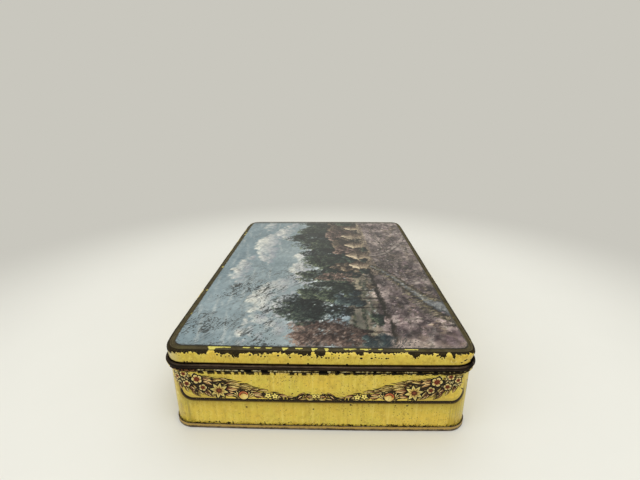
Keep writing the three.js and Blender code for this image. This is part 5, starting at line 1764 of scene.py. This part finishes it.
def chipped(n, spans, at):
    """1 inside any of the spans along X, else 0, with ragged ends."""
    mask = None
    for k in range(0, len(spans), 14):
        stops = [(0.0, 0.0)]
        for a, b in spans[k : k + 14]:
            stops += [((a + 84) / 168, 1.0), ((b + 84) / 168, 0.0)]
        part = n.ramp(at, stops, "CONSTANT")
        mask = part if mask is None else n.math("MAXIMUM", mask, part)
    return mask


def dashes(n):
    """Black blocks along the foot of the bead, from 0 to 1: in measured places on the front, at random elsewhere."""
    front = n.span(n.y, -112.0, -116.0)
    at = n.add(n.mul(n.add(n.x, 84.0), 1 / 168.0), n.mul(n.sub(n.noise(1.5, 2.0, 0.6, n.shift(0, 0, 20)), 0.5), 0.010))
    spans = [(-66, -62.4), (-60.4, -56.6), (-55.2, -52.6), (-51.6, -47.4), (-46.4, -43.4), (-42.6, -40.6), (-39.4, -35.4), (-33.4, -32.4), (-31.2, -26.8),
             (-24.4, -23.6), (-16.0, -13.6), (-12.4, -11.2), (-9.4, -7.0), (-5.0, -3.4), (-0.4, 4.8), (8.4, 10.8), (12.6, 16.6), (17.8, 24.4),
             (25.6, 27.2), (28.4, 33.4), (35.8, 37.6), (38.6, 45.2), (47.2, 49.4), (51.8, 56.8), (60.2, 63.4), (66.2, 70.6)]
    noise = n.span(n.noise(0.17, 3.0, 0.62, n.stretch(1, 1, 0.25, n.shift(11, 3, 0))), 0.475, 0.495)
    return n.blend(front, noise, chipped(n, spans, at)), at, front


def print_material():
    """The outside of the body: varnished yellow with the festoon printed on it, freckled and chipped."""
    n = Net("wall_print")
    ink = n.attribute("ink")
    warm = n.span(n.noise(0.05, 3.0, 0.6), 0.36, 0.66)
    base = n.mix(warm, rgba(216, 197, 78), rgba(226, 196, 76))
    base = n.mix(n.mul(n.span(n.noise(0.22, 4.0, 0.65, n.shift(4, 60, 2)), 0.48, 0.70), 0.65), base, rgba(196, 166, 64))
    base = n.mix(n.mul(n.span(n.noise(0.5, 4.0, 0.65, n.shift(44, 6, 22)), 0.50, 0.70), 0.5), base, rgba(238, 218, 114))
    # thin upright streaks of tiny marks
    column = n.noise(1.0, 2.0, 0.6, n.combine(n.mul(n.x, 0.75), n.mul(n.y, 0.75), n.mul(n.z, 0.05)))
    tick = n.noise(2.3, 2.0, 0.6, n.stretch(1, 1, 0.7, n.shift(8, 3, 0)))
    column = n.mul(n.span(column, 0.50, 0.66), n.span(tick, 0.50, 0.62))
    base = n.mix(n.mul(column, 0.62), base, rgba(146, 112, 42))
    pale_column = n.noise(1.0, 2.0, 0.6, n.combine(n.mul(n.x, 0.52), n.mul(n.y, 0.52), n.mul(n.z, 0.03)))
    base = n.mix(n.mul(n.span(pale_column, 0.54, 0.70), 0.36), base, rgba(240, 222, 120))
    base = n.mix(n.mul(n.span(pale_column, 0.46, 0.32), 0.28), base, rgba(196, 164, 62))
    # the print is a little worn, so the yellow grins through it
    lost = n.mul(n.span(n.noise(2.0, 3.0, 0.65), 0.62, 0.70), 0.45)
    cover = n.mul(ink.outputs["Alpha"], n.sub(1.0, lost))
    colour = n.mix(cover, base, ink.outputs["Color"])
    # the lower half of each end of the festoon is printed darker
    off = n.math("ABSOLUTE", n.x)
    lower = n.mul(n.mul(n.span(off, 49.0, 53.0), n.span(off, 78.0, 75.0)), n.mul(n.span(n.z, 32.0, 30.0), cover))
    colour = n.mix(n.mul(lower, 0.26), colour, rgba(44, 28, 12))
    # freckles, thicker in patches, and some round black specks
    patch = n.span(n.noise(0.04, 3.0, 0.6, n.shift(90, 10, 5)), 0.38, 0.64)
    dots = n.cells(0.75, n.shift(2, 1, 4))
    size = n.mul(n.noise(0.75, 0.0, 0.5, n.shift(60, 40, 0)), n.add(0.16, n.mul(patch, 0.30)))
    freckle = n.span(n.sub(size, dots), 0.0, 0.06)
    colour = n.mix(n.mul(freckle, 0.7), colour, rgba(104, 76, 28))
    speck_at = n.shift(20, 4, 9)
    speck = n.node("ShaderNodeSeparateColor")
    n.put(speck.inputs[0], n.cells(0.16, speck_at, out="Color"))
    big = n.span(n.sub(n.mul(speck.outputs[0], 0.125), n.cells(0.16, speck_at)), -0.008, 0.012)
    colour = n.mix(n.mul(big, 0.92), colour, rgba(24, 17, 9))
    # dashes and chips just under the bead, rust spots at the foot
    top = n.mul(n.span(n.z, n.span(n.x, -30.0, 40.0, 37.1, 36.6), 38.3), n.span(n.x, -30.0, 40.0, 1.0, 1.15))
    dash = n.noise(1.0, 3.0, 0.65, n.combine(n.mul(n.x, 0.75), n.mul(n.y, 0.75), n.mul(n.z, 1.9)))
    block, _, _ = dashes(n)
    ragged = n.add(n.z, n.mul(n.sub(dash, 0.5), 2.0))
    low_edge = n.span(n.x, -20.0, 30.0, 37.15, 37.95)
    wear = n.span(n.add(dash, n.mul(top, 0.22)), 0.735, 0.765)
    wear = n.math("MAXIMUM", wear, n.mul(block, n.span(n.sub(ragged, low_edge), -0.05, 0.15)))
    foot_ = n.span(n.z, 6.0, 3.2)
    low = n.span(n.add(n.noise(0.8, 4.0, 0.65, n.shift(5, 5, 50)), n.mul(foot_, 0.16)), 0.665, 0.70)
    wear = n.math("MAXIMUM", wear, low)
    colour = n.mix(n.mul(wear, 0.95), colour, rgba(34, 24, 10))
    # scuffs on the upright corners
    edge_x, edge_y = n.math("ABSOLUTE", n.x), n.math("ABSOLUTE", n.y)
    corner = n.mul(n.span(edge_x, 76.0, 80.0), n.span(edge_y, 114.0, 118.0))
    scuff = n.mul(corner, n.span(n.noise(0.5, 4.0, 0.65, n.stretch(1, 1, 0.45)), 0.56, 0.64))
    colour = n.mix(n.mul(scuff, 0.7), colour, rgba(236, 222, 146))
    # the seam shows as a dark hairline
    seam = n.mul(n.span(n.math("ABSOLUTE", n.x), 0.42, 0.10), n.span(n.y, 118.0, 120.0))
    colour = n.mix(n.mul(seam, 0.8), colour, rgba(70, 50, 22))
    height = n.add(n.mul(n.noise(2.4, 3.0, 0.6), 0.25), n.mul(wear, -1.0), n.mul(n.noise(0.08, 2.0), 1.6))
    rough = n.add(0.32, n.mul(n.noise(0.3, 3.0), 0.14), n.mul(wear, 0.3))
    sheen = n.mul(n.sub(1.0, n.math("MAXIMUM", wear, n.mul(cover, 0.8))), 0.34)
    return n.finish(colour, rough, n.bump(height, 0.00004, 0.6), coat=sheen)


def bead_material():
    """The stop bead: a pale rubbed crest, brightened by a painted highlight and broken by black chips, with painted
    shade round it, and black blocks with bits of paint between them under it.
    """
    n = Net("wall_bead")
    block, at, front = dashes(n)
    along = n.noise(0.30, 4.0, 0.7, n.stretch(1, 1, 0.2))
    chip = n.noise(1.15, 3.0, 0.65, n.stretch(1, 1, 0.5))
    jit = n.mul(n.sub(n.noise(1.3, 3.0, 0.65), 0.5), 0.40)
    z = n.add(n.z, jit)
    black = rgba(5, 3, 1)
    paint = n.mix(n.span(chip, 0.42, 0.60), rgba(170, 138, 52), rgba(236, 216, 138))
    colour = n.mix(block, paint, black)
    # painted shade: a black line right under the crest, thin on the left and thicker on the right
    crest_underside_shade = n.mul(n.span(z, n.span(n.x, -30.0, 40.0, 39.45, 39.05), n.span(n.x, -30.0, 40.0, 39.55, 39.15)), n.span(chip, 0.66, 0.60))
    colour = n.mix(crest_underside_shade, colour, black)
    # the crest keeps its pale primer, brightened by a painted highlight, except where a chip goes through it
    through = [(-84, -66), (-47.6, -46.6), (-43.9, -42.6), (-40.4, -36.6), (-31.0, -27.4), (-0.2, 4.4), (9.0, 10.6), (17.8, 19.2), (28.6, 30.2), (38.8, 41.2), (51.9, 54.4), (61.0, 62.6)]
    elsewhere = n.span(n.add(n.mul(along, 0.62), n.mul(chip, 0.38)), 0.50, 0.53)
    gaps = n.blend(front, elsewhere, chipped(n, through, at))
    crest = n.mul(n.span(z, 39.98, 40.10), n.span(z, 40.62, 40.50))
    dim = n.add(n.mul(n.noise(0.42, 3.0, 0.65, n.stretch(1, 1, 0.2, n.shift(70, 7, 1))), 0.6), n.mul(chip, 0.4), n.span(n.x, -20.0, 60.0, 0.03, -0.01))
    pale = n.mix(n.span(dim, 0.44, 0.54), rgba(66, 52, 26), n.mix(n.span(dim, 0.52, 0.60), rgba(176, 158, 98), rgba(236, 224, 178)))
    colour = n.mix(crest, colour, pale)
    # painted shade: black just under the crest and above it
    colour = n.mix(n.mul(n.span(z, 39.72, 39.84), n.sub(1.0, crest)), colour, black)
    colour = n.mix(n.mul(n.span(z, 39.6, 39.72), gaps), colour, black)
    # the near left end is brown, with specks
    end = n.mul(front, n.span(n.x, -64.5, -67.0))
    speckled = n.mix(n.span(n.noise(0.95, 2.0, 0.6, n.shift(2, 7, 1)), 0.50, 0.62), rgba(26, 15, 8), rgba(128, 88, 56))
    colour = n.mix(end, colour, speckled)
    far_end = n.mul(front, n.mul(n.span(n.x, 60.0, 68.0), n.span(n.noise(0.8, 3.0, 0.6, n.shift(4, 2, 7)), 0.60, 0.48)))
    colour = n.mix(far_end, colour, rgba(42, 32, 14))
    near_corner = n.mul(n.span(n.math("ABSOLUTE", n.x), 80.0, 82.0), n.span(n.math("ABSOLUTE", n.y), 115.0, 118.0))
    blob = n.mul(near_corner, n.span(n.noise(0.45, 2.0), 0.44, 0.48))
    blob = n.mul(blob, n.span(n.z, 41.1, 40.9))
    # painted shadow: black above the crest, in the gap under the lid's curl
    colour = n.mix(n.span(n.z, 40.62, 40.74), colour, rgba(3, 2, 1))
    colour = n.mix(blob, colour, rgba(236, 214, 130))
    rough = n.add(0.40, n.mul(chip, 0.2))
    return n.finish(colour, rough, n.bump(n.sub(1.0, block), 0.00004, 0.5), coat=n.mul(n.span(n.z, 40.7, 40.5), 0.05), specular=0.03)


def rim_material():
    """The crimped foot: yellowed lacquer rubbed to dark metal where it has slid about."""
    n = Net("base_rim")
    rag = n.mul(n.sub(n.noise(0.9, 4.0, 0.65), 0.5), 2.6)
    worn = n.span(n.add(n.z, rag), 1.9, 1.2)
    worn = n.math("MAXIMUM", worn, n.span(n.add(n.z, n.mul(rag, 0.5)), 2.7, 2.95))
    metal = n.mix(n.span(n.noise(0.25, 4.0, 0.6), 0.36, 0.66), rgba(70, 56, 38), rgba(118, 104, 80))
    metal = n.mix(n.mul(n.span(n.noise(0.8, 4.0, 0.7, n.shift(0, 0, 70)), 0.58, 0.66), 0.7), metal, rgba(96, 54, 28))
    colour = n.mix(worn, rgba(176, 144, 66), metal)
    rough = n.add(0.34, n.mul(n.noise(0.7, 3.0), 0.25))
    return n.finish(colour, rough, n.bump(n.add(n.noise(1.8, 4.0, 0.6), n.mul(worn, -0.7)), 0.00006, 0.6), n.mul(worn, 0.5))


def floor_material():
    """A pale table that fades into the colour of the room, so that no horizon shows."""
    n = Net("table")
    d = n.math("SQRT", n.add(n.mul(n.x, n.x), n.mul(n.y, n.y)))
    speck = n.add(0.985, n.mul(n.noise(0.02, 4.0, 0.6), 0.03))
    n.finish(n.tint(rgba(*TABLE), speck), 0.6)
    far = n.node("ShaderNodeEmission")
    far.inputs["Color"].default_value = rgba(*ROOM)
    mix = n.node("ShaderNodeMixShader")
    n.put(mix.inputs[0], n.span(d, 205.0, 450.0))
    n.put(mix.inputs[1], n.bsdf.outputs[0])
    n.put(mix.inputs[2], far.outputs[0])
    n.put(n.out.inputs[0], mix.outputs[0])
    return n.mat


picture, enamel, curl = picture_material(), enamel_material(), curl_material()
lid_inside = tinplate_material("lid_inside", rgba(150, 126, 78), rgba(186, 164, 112))
wall_inside = tinplate_material("wall_inside", rgba(146, 124, 80), rgba(184, 164, 116))
base_out = tinplate_material("base_outside", rgba(138, 116, 72), rgba(172, 150, 100))
base_in = tinplate_material("base_inside", rgba(150, 128, 82), rgba(188, 168, 118))

lid = build_lid([picture, enamel, curl, lid_inside])
wall = build_wall([print_material(), bead_material(), wall_inside])
base = build_base([base_out, rim_material(), base_in])

# ================================================================ floor, light and camera
floor_mesh = bpy.data.meshes.new("table_top")
n = 24
ring = [(6.0 * math.cos(2 * math.pi * k / n), 6.0 * math.sin(2 * math.pi * k / n), 0.0) for k in range(n)]
floor_mesh.from_pydata(ring, [], [list(range(n))])
floor = bpy.data.objects.new("table_top", floor_mesh)
floor_mesh.materials.append(floor_material())
bpy.context.scene.collection.objects.link(floor)

world = bpy.data.worlds.new("room")
bpy.context.scene.world = world
world.use_nodes = True
sky = world.node_tree.nodes["Background"]
sky.inputs["Color"].default_value = rgba(*ROOM)
sky.inputs["Strength"].default_value = 1.0


def area_light(name, place_, target, size, power, colour=(1, 1, 1)):
    data = bpy.data.lights.new(name, "AREA")
    data.shape, data.size, data.energy, data.color = "DISK", size, power, colour
    ob = bpy.data.objects.new(name, data)
    ob.location = place_
    ob.rotation_euler = (Vector(target) - Vector(place_)).to_track_quat("-Z", "Y").to_euler()
    bpy.context.scene.collection.objects.link(ob)
    return ob


area_light("key", (0.55, -0.75, 1.7), (0, 0, 0.03), 1.3, 11.0, (1.0, 1.0, 1.0))
area_light("fill", (-1.1, -0.8, 1.2), (0, 0, 0.03), 1.4, 6.5, (1.0, 1.0, 1.0))
area_light("top", (0.1, 0.5, 1.8), (0, 0, 0.03), 1.6, 7.0, (1.0, 1.0, 1.0))

FOCAL_PX, PITCH, ROLL, YAW = 366.006, math.radians(19.211), math.radians(-0.275), math.radians(-1.432)
c, s = math.cos(YAW), math.sin(YAW)
right = Vector((c, -s, 0))
forward = Vector((s * math.cos(PITCH), c * math.cos(PITCH), -math.sin(PITCH)))
up = Vector((s * math.sin(PITCH), c * math.sin(PITCH), math.cos(PITCH)))
right, up = right * math.cos(ROLL) + up * math.sin(ROLL), up * math.cos(ROLL) - right * math.sin(ROLL)
data = bpy.data.cameras.new("photo_view")
data.sensor_fit, data.sensor_width = "HORIZONTAL", 36.0
data.lens = FOCAL_PX / 640 * 36.0
data.clip_start, data.clip_end = 0.01, 50.0
camera = bpy.data.objects.new("photo_view", data)
camera.matrix_world = Matrix.Translation((0.005011, -0.160841 - LENGTH / 2000, 0.170569)) @ Matrix((right, up, -forward)).transposed().to_4x4()
bpy.context.scene.collection.objects.link(camera)
bpy.context.scene.camera = camera
bpy.context.scene.view_settings.view_transform = "Standard"
